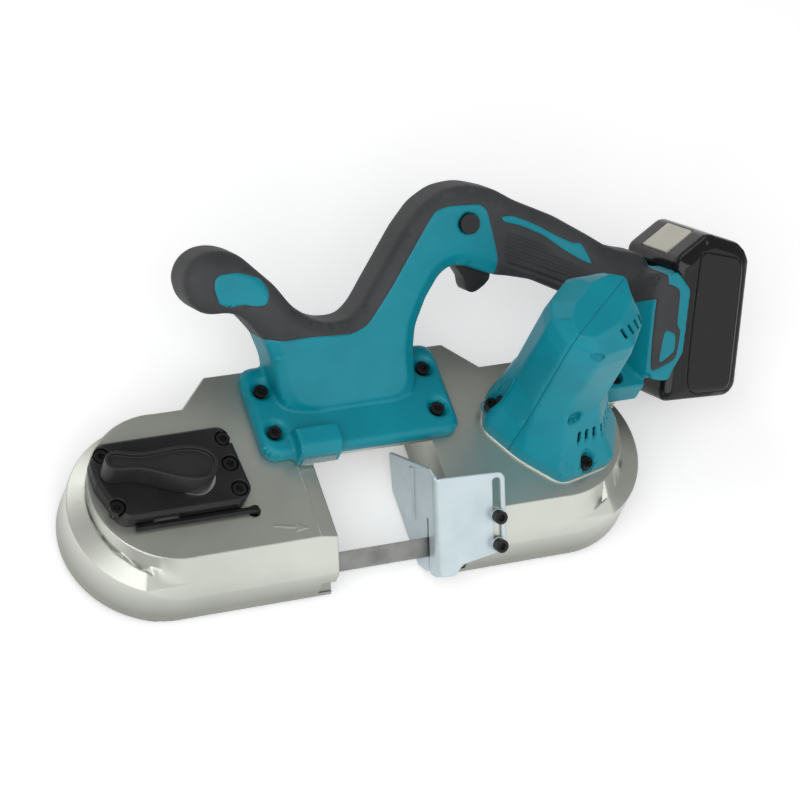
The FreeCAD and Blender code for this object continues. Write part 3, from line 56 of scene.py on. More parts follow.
# Finishes: main and shaded tone, edge tone for wear and painted highlight, gloss, grain, and how far edges
# look rounded
finishes = {
    "castingPaint": dict(
        colour=(0.56, 0.575, 0.52), shade=(0.49, 0.505, 0.455), wearAndHighlightTone=(0.78, 0.79, 0.76), wearAndHighlight=0.35,
        metallic=0.85, roughness=0.34, swing=0.06, gloss=0.5, coat=0.12,
        blotch=18, grain=1500, bump=0.05, edge=1.4),
    "tealPlastic": dict(
        colour=(0.001, 0.235, 0.302), shade=(0.0008, 0.203, 0.265), wearAndHighlightTone=(0.02, 0.33, 0.4), wearAndHighlight=0.3,
        metallic=0, roughness=0.4, swing=0.06, gloss=0.28, coat=0,
        blotch=30, grain=2600, bump=0.06, edge=0.9),
    "gripRubber": dict(
        colour=(0.046, 0.047, 0.05), shade=(0.034, 0.035, 0.037), wearAndHighlightTone=(0.06, 0.06, 0.06), wearAndHighlight=0.25,
        metallic=0, roughness=0.58, swing=0.08, gloss=0.22, coat=0,
        blotch=40, grain=2800, bump=0.08, edge=0.9),
    "blackPlastic": dict(
        colour=(0.015, 0.015, 0.016), shade=(0.01, 0.01, 0.011), wearAndHighlightTone=(0.05, 0.05, 0.05), wearAndHighlight=0.3,
        metallic=0, roughness=0.44, swing=0.1, gloss=0.3, coat=0,
        blotch=40, grain=2400, bump=0.07, edge=0.7),
    "leverPlastic": dict(
        colour=(0.021, 0.021, 0.022), shade=(0.015, 0.015, 0.016), wearAndHighlightTone=(0.06, 0.06, 0.06), wearAndHighlight=0.3,
        metallic=0, roughness=0.4, swing=0.08, gloss=0.3, coat=0,
        blotch=50, grain=2400, bump=0.06, edge=0.6),
    "bumperRubber": dict(
        colour=(0.018, 0.018, 0.018), shade=(0.012, 0.012, 0.012), wearAndHighlightTone=(0.05, 0.05, 0.048), wearAndHighlight=0.4,
        metallic=0, roughness=0.75, swing=0.08, gloss=0.2, coat=0,
        blotch=60, grain=1800, bump=0.12, edge=0.8),
    "zincPlate": dict(
        colour=(0.54, 0.63, 0.66), shade=(0.47, 0.56, 0.59), wearAndHighlightTone=(0.8, 0.84, 0.85), wearAndHighlight=0.3,
        metallic=0.45, roughness=0.34, swing=0.08, gloss=0.5, coat=0,
        blotch=45, grain=1400, bump=0.015, edge=1.2),
    "turnedSteel": dict(
        colour=(0.55, 0.55, 0.54), shade=(0.45, 0.45, 0.45), wearAndHighlightTone=(0.7, 0.7, 0.69), wearAndHighlight=0.2,
        metallic=1, roughness=0.3, swing=0.1, gloss=0.5, coat=0,
        blotch=60, grain=1600, bump=0.02, edge=0.3),
    "blackScrews": dict(
        colour=(0.02, 0.02, 0.021), shade=(0.012, 0.012, 0.013), wearAndHighlightTone=(0.1, 0.1, 0.1), wearAndHighlight=0.5,
        metallic=0.6, roughness=0.38, swing=0.1, gloss=0.4, coat=0,
        blotch=120, grain=2200, bump=0.03, edge=0.4),
    "bladeSteel": dict(
        colour=(0.24, 0.24, 0.235), shade=(0.16, 0.16, 0.158), wearAndHighlightTone=(0.3, 0.3, 0.3), wearAndHighlight=0,
        metallic=0.9, roughness=0.36, swing=0.12, gloss=0.5, coat=0,
        blotch=70, grain=2000, bump=0.02, edge=0.1),
    "wheelAluminium": dict(
        colour=(0.62, 0.63, 0.64), shade=(0.54, 0.55, 0.56), wearAndHighlightTone=(0.75, 0.75, 0.75), wearAndHighlight=0.2,
        metallic=1, roughness=0.4, swing=0.1, gloss=0.5, coat=0,
        blotch=50, grain=1500, bump=0.04, edge=0.5),
    "cellCan": dict(
        colour=(0.5, 0.51, 0.53), shade=(0.4, 0.41, 0.43), wearAndHighlightTone=(0.65, 0.65, 0.66), wearAndHighlight=0.2,
        metallic=1, roughness=0.3, swing=0.08, gloss=0.5, coat=0,
        blotch=70, grain=1600, bump=0.02, edge=0.4),
    "copperWindings": dict(
        colour=(0.42, 0.2, 0.09), shade=(0.3, 0.13, 0.05), wearAndHighlightTone=(0.5, 0.25, 0.1), wearAndHighlight=0,
        metallic=0.9, roughness=0.4, swing=0.1, gloss=0.5, coat=0,
        blotch=90, grain=900, bump=0.2, edge=0.3),
    "packBlack": dict(
        colour=(0.010, 0.010, 0.011), shade=(0.008, 0.008, 0.009), wearAndHighlightTone=(0.03, 0.03, 0.03), wearAndHighlight=0.3,
        metallic=0, roughness=0.15, swing=0.06, gloss=0.26, coat=0,
        blotch=25, grain=1800, bump=0.012, edge=0.9),
    "creamPlastic": dict(
        colour=(0.56, 0.545, 0.46), shade=(0.5, 0.485, 0.4), wearAndHighlightTone=(0.66, 0.65, 0.58), wearAndHighlight=0.2,
        metallic=0, roughness=0.38, swing=0.06, gloss=0.4, coat=0,
        blotch=60, grain=2400, bump=0.03, edge=0.8),
}
# What all finishes share: where the two tones stop, the bend of an edge that takes the wear and painted
# highlight tone, and the reach of relief
finishSet = dict(stops=(0.3, 0.6), blotchDetail=5, grainDetail=2, grainReach=1, edgeSamples=4,
                 wearAndHighlightStart=0.985, wearAndHighlightFull=0.86, lineReach=0.6, lineStrength=0.9)


def addNode(tree, kind, values=None, **settings):
    node = tree.nodes.new("ShaderNode" + kind)
    for key, value in settings.items():
        setattr(node, key, value)
    for socket, value in (values or {}).items():
        node.inputs[socket].default_value = value
    return node


def addRamp(tree, look):
    ramp = addNode(tree, "ValToRGB")
    stops = ramp.color_ramp.elements
    for k, tone in enumerate((look["shade"], look["colour"])):
        stops[k].color = (*tone, 1)
        stops[k].position = finishSet["stops"][k]
    return ramp


def makeFinish(name, look):
    mat = bpy.data.materials.new(name)
    mat.use_nodes = True
    tree = mat.node_tree
    link = tree.links.new
    shader = tree.nodes["Principled BSDF"]
    shader.inputs["Metallic"].default_value = look["metallic"]
    shader.inputs["Coat Weight"].default_value = look["coat"]
    shader.inputs["Specular IOR Level"].default_value = look["gloss"]
    coords = addNode(tree, "TexCoord")
    # tone and gloss are a little uneven
    blotchSize = {"Scale": look["blotch"], "Detail": finishSet["blotchDetail"]}
    blotch = addNode(tree, "TexNoise", blotchSize, name="blotch")
    ramp = addRamp(tree, look)
    dullest = look["roughness"] + look["swing"]
    glossiest = look["roughness"] - look["swing"]
    rough = addNode(tree, "MapRange", {"To Min": glossiest, "To Max": dullest})
    link(coords.outputs["Object"], blotch.inputs["Vector"])
    link(blotch.outputs["Fac"], ramp.inputs["Fac"])
    link(blotch.outputs["Fac"], rough.inputs["Value"])
    link(rough.outputs["Result"], shader.inputs["Roughness"])
    # edges catch light as moulded ones do, over a fine grain
    soft = addNode(tree, "Bevel", {"Radius": look["edge"] / 1000}, samples=finishSet["edgeSamples"])
    grain = addNode(tree, "TexNoise", {"Scale": look["grain"], "Detail": finishSet["grainDetail"]})
    bumpSize = {"Strength": look["bump"], "Distance": finishSet["grainReach"] / 1000}
    bump = addNode(tree, "Bump", bumpSize, name="fineGrain")
    link(coords.outputs["Object"], grain.inputs["Vector"])
    link(grain.outputs["Fac"], bump.inputs["Height"])
    link(soft.outputs["Normal"], bump.inputs["Normal"])
    link(bump.outputs["Normal"], shader.inputs["Normal"])
    # edges are painted lighter where the softened normal leaves the face's own, partly as rubbed wear and
    # partly as a painted highlight
    face = addNode(tree, "NewGeometry")
    bend = addNode(tree, "VectorMath", operation="DOT_PRODUCT")
    wearAndHighlightRange = {"From Min": finishSet["wearAndHighlightStart"], "From Max": finishSet["wearAndHighlightFull"], "To Max": look["wearAndHighlight"]}
    wearAndHighlightMask = addNode(tree, "MapRange", wearAndHighlightRange)
    tone = addNode(tree, "Mix", data_type="RGBA", name="wearAndHighlightTone")
    tone.inputs["B"].default_value = (*look["wearAndHighlightTone"], 1)
    link(soft.outputs["Normal"], bend.inputs[0])
    link(face.outputs["Normal"], bend.inputs[1])
    link(bend.outputs["Value"], wearAndHighlightMask.inputs["Value"])
    link(wearAndHighlightMask.outputs["Result"], tone.inputs["Factor"])
    link(ramp.outputs["Color"], tone.inputs["A"])
    link(tone.outputs["Result"], shader.inputs["Base Color"])
    return mat


def addLine(tree, distance, width):
    # nought where the distance is nought, and one from the width on
    near = addNode(tree, "Math", operation="ABSOLUTE")
    dip = addNode(tree, "MapRange", {"From Max": width})
    tree.links.new(distance, near.inputs[0])
    tree.links.new(near.outputs["Value"], dip.inputs["Value"])
    return dip.outputs["Result"]


def addRelief(tree, height, strength):
    # presses the height into the finish, over its fine grain
    relief = addNode(tree, "Bump", {"Strength": strength, "Distance": finishSet["lineReach"] / 1000})
    tree.links.new(height, relief.inputs["Height"])
    tree.links.new(tree.nodes["fineGrain"].outputs["Normal"], relief.inputs["Normal"])
    tree.links.new(relief.outputs["Normal"], tree.nodes["Principled BSDF"].inputs["Normal"])


def addGroove(mat, width):
    # fine line pressed in along the piece's own grooveEdge distance, in millimetres
    tree = mat.node_tree
    line = addNode(tree, "Attribute", attribute_name="grooveEdge")
    addRelief(tree, addLine(tree, line.outputs["Fac"], width), finishSet["lineStrength"])
    return mat


coat = {name: makeFinish(name, look) for name, look in finishes.items()}
lampLook = dict(colour=(0.85, 0.88, 0.88), clear=0.8, roughness=0.12)
lampClear = bpy.data.materials.new("lampClear")
lampClear.use_nodes = True
clearShader = lampClear.node_tree.nodes["Principled BSDF"]
clearShader.inputs["Base Color"].default_value = (*lampLook["colour"], 1)
clearShader.inputs["Transmission Weight"].default_value = lampLook["clear"]
clearShader.inputs["Roughness"].default_value = lampLook["roughness"]
coat["lampClear"] = lampClear
slotFinish = {
    "casting_paint": "castingPaint", "teal_plastic": "tealPlastic", "grip_rubber": "gripRubber",
    "black_plastic": "blackPlastic", "bumper_rubber": "bumperRubber", "zinc_plate": "zincPlate",
    "bright_steel": "turnedSteel", "black_screws": "blackScrews", "blade_steel": "bladeSteel",
    "wheel_aluminium": "wheelAluminium", "copper_windings": "copperWindings", "pack_black": "packBlack",
    "cream_plastic": "creamPlastic", "lamp_clear": "lampClear", "cell_cans": "cellCan"}
# nodes that look darker than their slot's usual finish; the gear cover is black as painted shade, so that
# its visible crescent reads as shadow
nodeFinish = {"gear_cover": "blackPlastic", "left_guide": "bladeSteel", "right_guide": "bladeSteel"}
for entry in frame["record"]["subparts"]:
    ob = nodes[entry["node"]]
    mat = coat[nodeFinish.get(entry["node"], slotFinish[entry["material_slot"]])]
    if ob.data.materials:
        for k in range(len(ob.data.materials)):
            ob.data.materials[k] = mat
    else:
        ob.data.materials.append(mat)
print("finishes on", len(nodes), "nodes")

# Helpers for pieces shaped from a copy of the frame's own solids
weldReach = 0.01
farOff = 50
cornerShares = (0.14, 0.25)
smoothAngle = 35
softFactor = 0.5


def onlyActive(ob):
    bpy.ops.object.select_all(action="DESELECT")
    ob.select_set(True)
    bpy.context.view_layer.objects.active = ob


def copyNodes(pieceName, names):
    bpy.ops.object.select_all(action="DESELECT")
    for name in names:
        nodes[name].select_set(True)
    bpy.context.view_layer.objects.active = nodes[names[0]]
    bpy.ops.object.duplicate()
    if len(names) > 1:
        bpy.ops.object.join()
    piece = bpy.context.active_object
    piece.name = pieceName
    piece.parent = None
    for key in list(piece.keys()):
        del piece[key]
    onlyActive(piece)
    bpy.ops.object.mode_set(mode="EDIT")
    bpy.ops.mesh.select_all(action="SELECT")
    bpy.ops.mesh.remove_doubles(threshold=weldReach / 1000)
    bpy.ops.object.mode_set(mode="OBJECT")
    return piece


def joined(pieces):
    bpy.ops.object.select_all(action="DESELECT")
    for piece in pieces:
        piece.select_set(True)
    bpy.context.view_layer.objects.active = pieces[0]
    bpy.ops.object.join()
    return bpy.context.active_object


def applyAll(ob):
    onlyActive(ob)
    for mod in list(ob.modifiers):
        bpy.ops.object.modifier_apply(modifier=mod.name)


def voxelled(ob, voxel):
    onlyActive(ob)
    ob.data.remesh_voxel_size = voxel / 1000
    ob.data.remesh_voxel_adaptivity = 0
    bpy.ops.object.voxel_remesh()


def softened(ob, steps, group=""):
    smooth = ob.modifiers.new("soften", "SMOOTH")
    smooth.factor = softFactor
    smooth.iterations = steps
    smooth.vertex_group = group
    applyAll(ob)


def remeshed(ob, voxel, steps):
    voxelled(ob, voxel)
    softened(ob, steps)
    bpy.ops.object.shade_smooth()


def swollen(ob, reach):
    swell = ob.modifiers.new("swell", "DISPLACE")
    swell.mid_level = 0
    swell.strength = reach / 1000
    applyAll(ob)


def closedUp(ob, voxel, reach):
    # fills the hairline seams between touching solids: out, remesh, and back in
    voxelled(ob, voxel)
    swollen(ob, reach)
    voxelled(ob, voxel)
    swollen(ob, -reach)


def cutBy(ob, tool):
    cut = ob.modifiers.new("cut", "BOOLEAN")
    cut.operation = "DIFFERENCE"
    cut.solver = "EXACT"
    cut.object = tool
    applyAll(ob)


def bevelled(ob, width, segments=3, limit=30):
    edge = ob.modifiers.new("edge", "BEVEL")
    edge.width = width / 1000
    edge.segments = segments
    edge.angle_limit = math.radians(limit)
    applyAll(ob)


def smoothedBy(ob, angle=smoothAngle):
    onlyActive(ob)
    bpy.ops.object.shade_smooth_by_angle(angle=math.radians(angle))


def facesOut(ob):
    onlyActive(ob)
    bpy.ops.object.mode_set(mode="EDIT")
    bpy.ops.mesh.select_all(action="SELECT")
    bpy.ops.mesh.normals_make_consistent(inside=False)
    bpy.ops.object.mode_set(mode="OBJECT")


def flatFace(pieceName, places):
    bpy.ops.object.select_all(action="DESELECT")
    bpy.ops.mesh.primitive_circle_add(vertices=len(places), fill_type="NGON")
    piece = bpy.context.active_object
    piece.name = pieceName
    for vert, place in zip(piece.data.vertices, places):
        vert.co = place
    return piece


def extruded(ob, push):
    onlyActive(ob)
    bpy.ops.object.mode_set(mode="EDIT")
    bpy.ops.mesh.select_all(action="SELECT")
    bpy.ops.mesh.extrude_region_move(TRANSFORM_OT_translate={"value": push})
    bpy.ops.object.mode_set(mode="OBJECT")


def wear(ob, mat):
    ob.data.materials.clear()
    ob.data.materials.append(mat)
    for face in ob.data.polygons:
        face.material_index = 0


def meshValues(ob, field):
    values = np.empty(len(ob.data.vertices) * 3)
    ob.data.vertices.foreach_get(field, values)
    return values.reshape(-1, 3)


def putPlaces(ob, places):
    ob.data.vertices.foreach_set("co", places.ravel())
    ob.data.update()


def planePlaces(ob):
    # x along the blade, depth towards the back, height up the tilted plane, in millimetres
    places = meshValues(ob, "co") - np.array(planeOrigin)
    return places[:, 0] * 1000, places @ np.array(planeBack) * 1000, places @ np.array(planeUp) * 1000


def planePoint(x, depth, height):
    return Vector((x, 0, 0)) / 1000 + (planeBack * depth + planeUp * height) / 1000 + planeOrigin


def sawPlaces(ob):
    # places in the saw's own millimetres, before its origin was put under its middle
    return ((meshValues(ob, "co") - np.array(sawShift)) * 1000).T


def sawPoint(x, y, z):
    return Vector((x, y, z)) / 1000 + sawShift


def edgeDistance(x, y, outline):
    # positive inside the outline
    best = np.full(len(x), np.inf)
    inside = np.zeros(len(x), bool)
    for (ax, ay), (bx, by) in zip(outline, outline[1:] + outline[:1]):
        dx, dy = bx - ax, by - ay
        share = np.clip(((x - ax) * dx + (y - ay) * dy) / (dx * dx + dy * dy), 0, 1)
        best = np.minimum(best, np.hypot(x - ax - share * dx, y - ay - share * dy))
        crosses = (ay > y) != (by > y)
        if dy != 0:
            inside ^= crosses & (x < dx * (y - ay) / dy + ax)
    return np.where(inside, best, -best)


def rounded(outline):
    # cuts the corners of a closed outline so that its line runs smooth
    for share in cornerShares:
        cut = []
        for (ax, ay), (bx, by) in zip(outline, outline[1:] + outline[:1]):
            cut.append((ax + (bx - ax) * share, ay + (by - ay) * share))
            cut.append((bx + (ax - bx) * share, by + (ay - by) * share))
        outline = cut
    return outline


def pushed(ob, reach):
    # moves each vertex along its own normal, reach in millimetres
    putPlaces(ob, meshValues(ob, "co") + meshValues(ob, "normal") * reach[:, None] / 1000)


def lineDip(distance, width, depth):
    return -depth * np.exp(-(distance / width) ** 2)


def keepAttribute(ob, name, values):
    attribute = ob.data.attributes.new(name, "FLOAT", "POINT")
    attribute.data.foreach_set("value", values.astype(np.float32))


# Handle: one moulding in two colours, the dark one a soft overmould
# Its outlines are shares of the run along the blade and of the rise up the tilted plane
handleLook = dict(
    run=300, rise=167, middle=39, footFront=12, voxel=1.2, closing=0.9, steps=4, gripSteps=40, softReach=12,
    softLevels=10,
    dark=[(-0.6, 0.519), (-0.196, 0.519), (-0.149, 0.504), (-0.089, 0.507), (-0.001, 0.496), (0.037, 0.522),
          (0.092, 0.647), (0.145, 0.786), (0.197, 0.919), (0.23, 0.933), (0.3, 0.926), (0.316, 0.902),
          (0.327, 0.817), (0.338, 0.718), (0.333, 0.642), (0.33, 0.4), (0.585, 0.42), (0.655, 0.497),
          (0.69, 0.51), (0.7, 0.54), (0.703, 0.575), (0.695, 0.62), (0.7, 0.67), (0.71, 0.75), (0.71, 1.3),
          (-0.6, 1.3)],
    pads=[[(-0.294, 0.732), (-0.292, 0.765), (-0.281, 0.782), (-0.242, 0.783), (-0.192, 0.75),
           (-0.176, 0.706), (-0.179, 0.666), (-0.187, 0.648), (-0.207, 0.649), (-0.232, 0.66),
           (-0.262, 0.654), (-0.285, 0.672)],
          [(0.349, 0.869), (0.376, 0.867), (0.43, 0.821), (0.476, 0.769), (0.515, 0.732), (0.535, 0.73),
           (0.561, 0.638), (0.53, 0.667), (0.491, 0.714), (0.445, 0.779), (0.391, 0.828), (0.353, 0.849)]],
    strip=[(0.698, 0.563), (0.731, 0.531), (0.72, 0.391), (0.729, 0.369), (0.716, 0.259), (0.664, 0.227),
           (0.654, 0.229), (0.66, 0.34), (0.673, 0.51)],
    badge=[(0.691, 0.383), (0.717, 0.357), (0.713, 0.289), (0.672, 0.245)],
    ribs=[(0.355, 0.82), (0.43, 0.768), (0.5, 0.675), (0.57, 0.605), (0.62, 0.56), (0.6, 0.49),
          (0.53, 0.515), (0.44, 0.595), (0.37, 0.64), (0.348, 0.7)],
    ribPitch=4.4, ribDepth=0.85, ribFade=2.5, ribAcross=(0.41, 0.91), seamWidth=1.1, seamDepth=0.3,
    toneBlend=0.12, groove=0.7, relief=0.55)


def handleOutline(shares):
    return rounded([(x * handleLook["run"], t * handleLook["rise"]) for x, t in shares])


def makeTwoTone(name, under, over):
    # the second finish where darkEdge is positive, with a fine groove where the two meet
    mat = makeFinish(name, under)
    tree = mat.node_tree
    link = tree.links.new
    shader = tree.nodes["Principled BSDF"]
    side = addNode(tree, "Attribute", attribute_name="darkEdge")
    blend = handleLook["toneBlend"]
    pick = addNode(tree, "MapRange", {"From Min": -blend, "From Max": blend})
    overRamp = addRamp(tree, over)
    tone = addNode(tree, "Mix", data_type="RGBA")
    rough = addNode(tree, "MapRange", {"To Min": under["roughness"], "To Max": over["roughness"]})
    link(side.outputs["Fac"], pick.inputs["Value"])
    link(tree.nodes["blotch"].outputs["Fac"], overRamp.inputs["Fac"])
    link(pick.outputs["Result"], tone.inputs["Factor"])
    link(tree.nodes["wearAndHighlightTone"].outputs["Result"], tone.inputs["A"])
    link(overRamp.outputs["Color"], tone.inputs["B"])
    link(tone.outputs["Result"], shader.inputs["Base Color"])
    link(pick.outputs["Result"], rough.inputs["Value"])
    link(rough.outputs["Result"], shader.inputs["Roughness"])
    # long ribs under the fingers sharpen the ones in the mesh
    ribEdge = addNode(tree, "Attribute", attribute_name="ribEdge")
    ribPlace = addNode(tree, "Attribute", attribute_name="ribPlace")
    ribMask = addNode(tree, "MapRange", {"From Max": handleLook["ribFade"]})
    wave = addNode(tree, "Math", operation="SINE")
    ribs = addNode(tree, "Math", operation="MULTIPLY_ADD")
    link(ribEdge.outputs["Fac"], ribMask.inputs["Value"])
    link(ribPlace.outputs["Fac"], wave.inputs[0])
    link(wave.outputs["Value"], ribs.inputs[0])
    link(ribMask.outputs["Result"], ribs.inputs[1])
    link(addLine(tree, side.outputs["Fac"], handleLook["groove"]), ribs.inputs[2])
    addRelief(tree, ribs.outputs["Value"], handleLook["relief"])
    return mat


handleNodes = ["handle_front_half", "handle_rear_half", "knob_overmould", "grip_overmould", "knob_inset",
               "grip_inlay", "foot_badge"]
handle = copyNodes("handleBody", handleNodes)
closedUp(handle, handleLook["voxel"], handleLook["closing"])
remeshed(handle, handleLook["voxel"], handleLook["steps"])
# the dark part is rounded further, the more the deeper inside its outline
handleX, handleDepth, handleHeight = planePlaces(handle)
darkEdge = edgeDistance(handleX, handleHeight, handleOutline(handleLook["dark"]))
softGroup = handle.vertex_groups.new(name="soft")
levels = handleLook["softLevels"]
softLevel = np.round(np.clip(darkEdge / handleLook["softReach"], 0, 1) * levels)
for level in range(1, levels + 1):
    inLevel = np.nonzero(softLevel == level)[0]
    softGroup.add(inLevel.tolist(), level / levels, "REPLACE")
softened(handle, handleLook["gripSteps"], softGroup.name)
# the colours' border, with the teal pads and the strip and badge that show on the front alone
handleX, handleDepth, handleHeight = planePlaces(handle)
darkEdge = edgeDistance(handleX, handleHeight, handleOutline(handleLook["dark"]))


def frontEdge(shares, depthLimit):
    inside = edgeDistance(handleX, handleHeight, handleOutline(shares))
    return np.where(handleDepth < depthLimit, inside, -farOff)


for shares in handleLook["pads"]:
    darkEdge = np.minimum(darkEdge, -frontEdge(shares, handleLook["middle"]))
darkEdge = np.maximum(darkEdge, frontEdge(handleLook["strip"], handleLook["footFront"]))
darkEdge = np.minimum(darkEdge, -frontEdge(handleLook["badge"], handleLook["footFront"]))
ribEdge = edgeDistance(handleX, handleHeight, handleOutline(handleLook["ribs"]))
ribAcross = handleX * handleLook["ribAcross"][0] + handleHeight * handleLook["ribAcross"][1]
ribPlace = ribAcross * 2 * math.pi / handleLook["ribPitch"]
ribShare = np.clip(ribEdge / handleLook["ribFade"], 0, 1)
ribDip = handleLook["ribDepth"] * ribShare * (np.sin(ribPlace) - 1) / 2
pushed(handle, ribDip + lineDip(darkEdge, handleLook["seamWidth"], handleLook["seamDepth"]))
keepAttribute(handle, "darkEdge", darkEdge)
keepAttribute(handle, "ribEdge", ribEdge)
keepAttribute(handle, "ribPlace", ribPlace)
wear(handle, makeTwoTone("handleTwoTone", finishes["tealPlastic"], finishes["gripRubber"]))
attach(handle, "saw")
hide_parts(*handleNodes)
print("handle", len(handle.data.polygons))

# Casting: the ledge round its ends leans outwards, and painted shade darkens it towards the foot
castingLook = dict(ledge=36.5, near=0.06, step=0.3, share=0.5, rise=5, low=12, high=36, foot=0.5, smooth=17,
                   level=0.99, cuts=3)
castingShell = copyNodes("castingShell", ["frame_casting"])
bpy.ops.mesh.customdata_custom_splitnormals_clear()
castingPlaces = sawPlaces(castingShell)
castingPlan = castingPlaces[:2].T
castingZ = castingPlaces[2]
ends = np.empty(len(castingShell.data.edges) * 2, dtype=np.int32)
castingShell.data.edges.foreach_get("vertices", ends)
ends = ends.reshape(-1, 2)
ends = np.concatenate((ends, ends[:, ::-1]))
# the ledge's inner line has a wall above it, and its rim has one below
climb = castingZ[ends[:, 1]] - castingZ[ends[:, 0]]
hasUp = np.zeros(len(castingZ), dtype=bool)
hasDown = np.zeros(len(castingZ), dtype=bool)
hasUp[ends[climb > castingLook["step"], 0]] = True
hasDown[ends[climb < -castingLook["step"], 0]] = True
onLedge = np.abs(castingZ - castingLook["ledge"]) < castingLook["near"]


def gapTo(places, marked):
    # distance in plan from each place to the mesh edges whose two ends are marked
    pairs = ends[marked[ends[:, 0]] & marked[ends[:, 1]]]
    start = castingPlan[pairs[:, 0]]
    run = castingPlan[pairs[:, 1]] - start
    apart = places[:, None, :] - start[None]
    share = np.clip((apart * run).sum(axis=2) / np.maximum((run ** 2).sum(axis=1), tiny), 0, 1)
    return np.hypot(*np.moveaxis(apart - run * share[:, :, None], 2, 0)).min(axis=1)


def makeCastingPaintedShade():
    mat = makeFinish("castingPaintedShade", finishes["castingPaint"])
    tree = mat.node_tree
    link = tree.links.new
    coords = addNode(tree, "TexCoord")
    split = addNode(tree, "SeparateXYZ")
    # painted shade: below the high mark the colour is multiplied darker, down to the foot share at the low
    # mark
    paintedShadeRange = {"From Min": castingLook["low"] / 1000, "From Max": castingLook["high"] / 1000}
    paintedShade = addNode(tree, "MapRange", {**paintedShadeRange, "To Min": castingLook["foot"]})
    tone = addNode(tree, "Mix", {"Factor": 1}, data_type="RGBA", blend_type="MULTIPLY")
    link(coords.outputs["Object"], split.inputs["Vector"])
    link(split.outputs["Z"], paintedShade.inputs["Value"])
    link(tree.nodes["wearAndHighlightTone"].outputs["Result"], tone.inputs["A"])
    link(paintedShade.outputs["Result"], tone.inputs["B"])
    link(tone.outputs["Result"], tree.nodes["Principled BSDF"].inputs["Base Color"])
    return mat


bpy.ops.object.mode_set(mode="EDIT")
bpy.ops.mesh.select_mode(type="FACE")
bpy.ops.mesh.select_all(action="DESELECT")
bpy.ops.object.mode_set(mode="OBJECT")
for face in castingShell.data.polygons:
    face.select = bool(onLedge[list(face.vertices)].all()) and face.normal.z > castingLook["level"]
bpy.ops.object.mode_set(mode="EDIT")
bpy.ops.mesh.subdivide(number_cuts=castingLook["cuts"])
bpy.ops.mesh.select_mode(type="VERT")
bpy.ops.object.mode_set(mode="OBJECT")
ledgeVerts = [vert for vert in castingShell.data.vertices if vert.select]
ledgePlan = sawPlaces(castingShell)[:2].T[[vert.index for vert in ledgeVerts]]
fromRim = gapTo(ledgePlan, onLedge & hasDown)
ledgeWidth = np.maximum(gapTo(ledgePlan, onLedge & hasUp) + fromRim, tiny)
ledgeRise = np.minimum(castingLook["rise"], ledgeWidth * castingLook["share"]) * fromRim / ledgeWidth
for vert, rise in zip(ledgeVerts, ledgeRise):
    vert.co.z += rise / 1000
castingShell.data.update()
smoothedBy(castingShell, castingLook["smooth"])
wear(castingShell, makeCastingPaintedShade())
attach(castingShell, "saw")
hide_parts("frame_casting")
print("casting shell", len(castingShell.data.polygons))

# Motor housing: both halves as one softened shell, its crown sloping along the pressed parting line
motorLook = dict(middle=(126, 24), split=37, voxel=1, steps=4, base=140, top=178, drop=13, reach=29,
                 shoulder=160.5, pinch=0.42, line=0.55, lineWidth=1.2, lineDepth=0.35,
                 ventSize=(2.4, 7, 12), ventLean=50,
                 vents=[(136.2, 5.8, 166.1), (141.9, 8.6, 165.6), (147.4, 12.0, 164.6),
                        (151.4, 15.5, 163.9)])
motorNodes = ["motor_housing_front", "motor_housing_rear"]
motorShell = copyNodes("motorShell", motorNodes)
remeshed(motorShell, motorLook["voxel"], motorLook["steps"])
splitTurn = math.radians(motorLook["split"])
splitAlong = np.array((math.cos(splitTurn), math.sin(splitTurn)))
splitAside = np.array((-math.sin(splitTurn), math.cos(splitTurn)))
motorMiddle = np.array(motorLook["middle"])


def motorPlaces():
    # along the parting line from the motor's middle, aside from it, and height
    places = sawPlaces(motorShell)
    plan = places[:2].T - motorMiddle
    return plan @ splitAlong, plan @ splitAside, places[2]


alongSplit, asideSplit, motorHeight = motorPlaces()
crownShare = np.clip((motorLook["reach"] - alongSplit) / (2 * motorLook["reach"]), 0, 1)
crownHeight = motorLook["top"] - motorLook["drop"] * crownShare
squeeze = (crownHeight - motorLook["base"]) / (motorLook["top"] - motorLook["base"])
overBase = np.maximum(motorHeight - motorLook["base"], 0)
motorHeight = np.minimum(motorHeight, motorLook["base"]) + overBase * squeeze
pinch = np.clip((motorHeight - motorLook["shoulder"]) / (crownHeight - motorLook["shoulder"]), 0, 1)
asideSplit = asideSplit * (1 - motorLook["pinch"] * pinch)
motorPlan = motorMiddle + np.outer(alongSplit, splitAlong) + np.outer(asideSplit, splitAside)
putPlaces(motorShell, np.column_stack((motorPlan, motorHeight)) / 1000 + np.array(sawShift))
asideSplit = motorPlaces()[1]
pushed(motorShell, lineDip(asideSplit, motorLook["lineWidth"], motorLook["lineDepth"]))

# slots under the crown, cut through the shell square to its shoulder
ventLean = math.radians(motorLook["ventLean"])
slotAlong = Vector((*splitAlong, 0))
slotOut = Vector((*(-splitAside * math.cos(ventLean)), math.sin(ventLean)))
slotTurn = Matrix((slotAlong, slotOut.cross(slotAlong), slotOut)).transposed().to_4x4()
slotSize = Matrix.Diagonal((*motorLook["ventSize"], 1))
cubeSize = 1
slots = []
for place in motorLook["vents"]:
    bpy.ops.object.select_all(action="DESELECT")
    bpy.ops.mesh.primitive_cube_add(size=cubeSize / 1000)
    slot = bpy.context.active_object
    slot.matrix_world = Matrix.Translation(sawPoint(*place)) @ slotTurn @ slotSize
    bpy.ops.object.transform_apply(location=True, rotation=True, scale=True)
    slots.append(slot)
slotTool = joined(slots)
cutBy(motorShell, slotTool)
bpy.data.objects.remove(slotTool)
smoothedBy(motorShell)
asideSplit = motorPlaces()[1]
keepAttribute(motorShell, "grooveEdge", asideSplit)
wear(motorShell, addGroove(makeFinish("motorTeal", finishes["tealPlastic"]), motorLook["line"]))
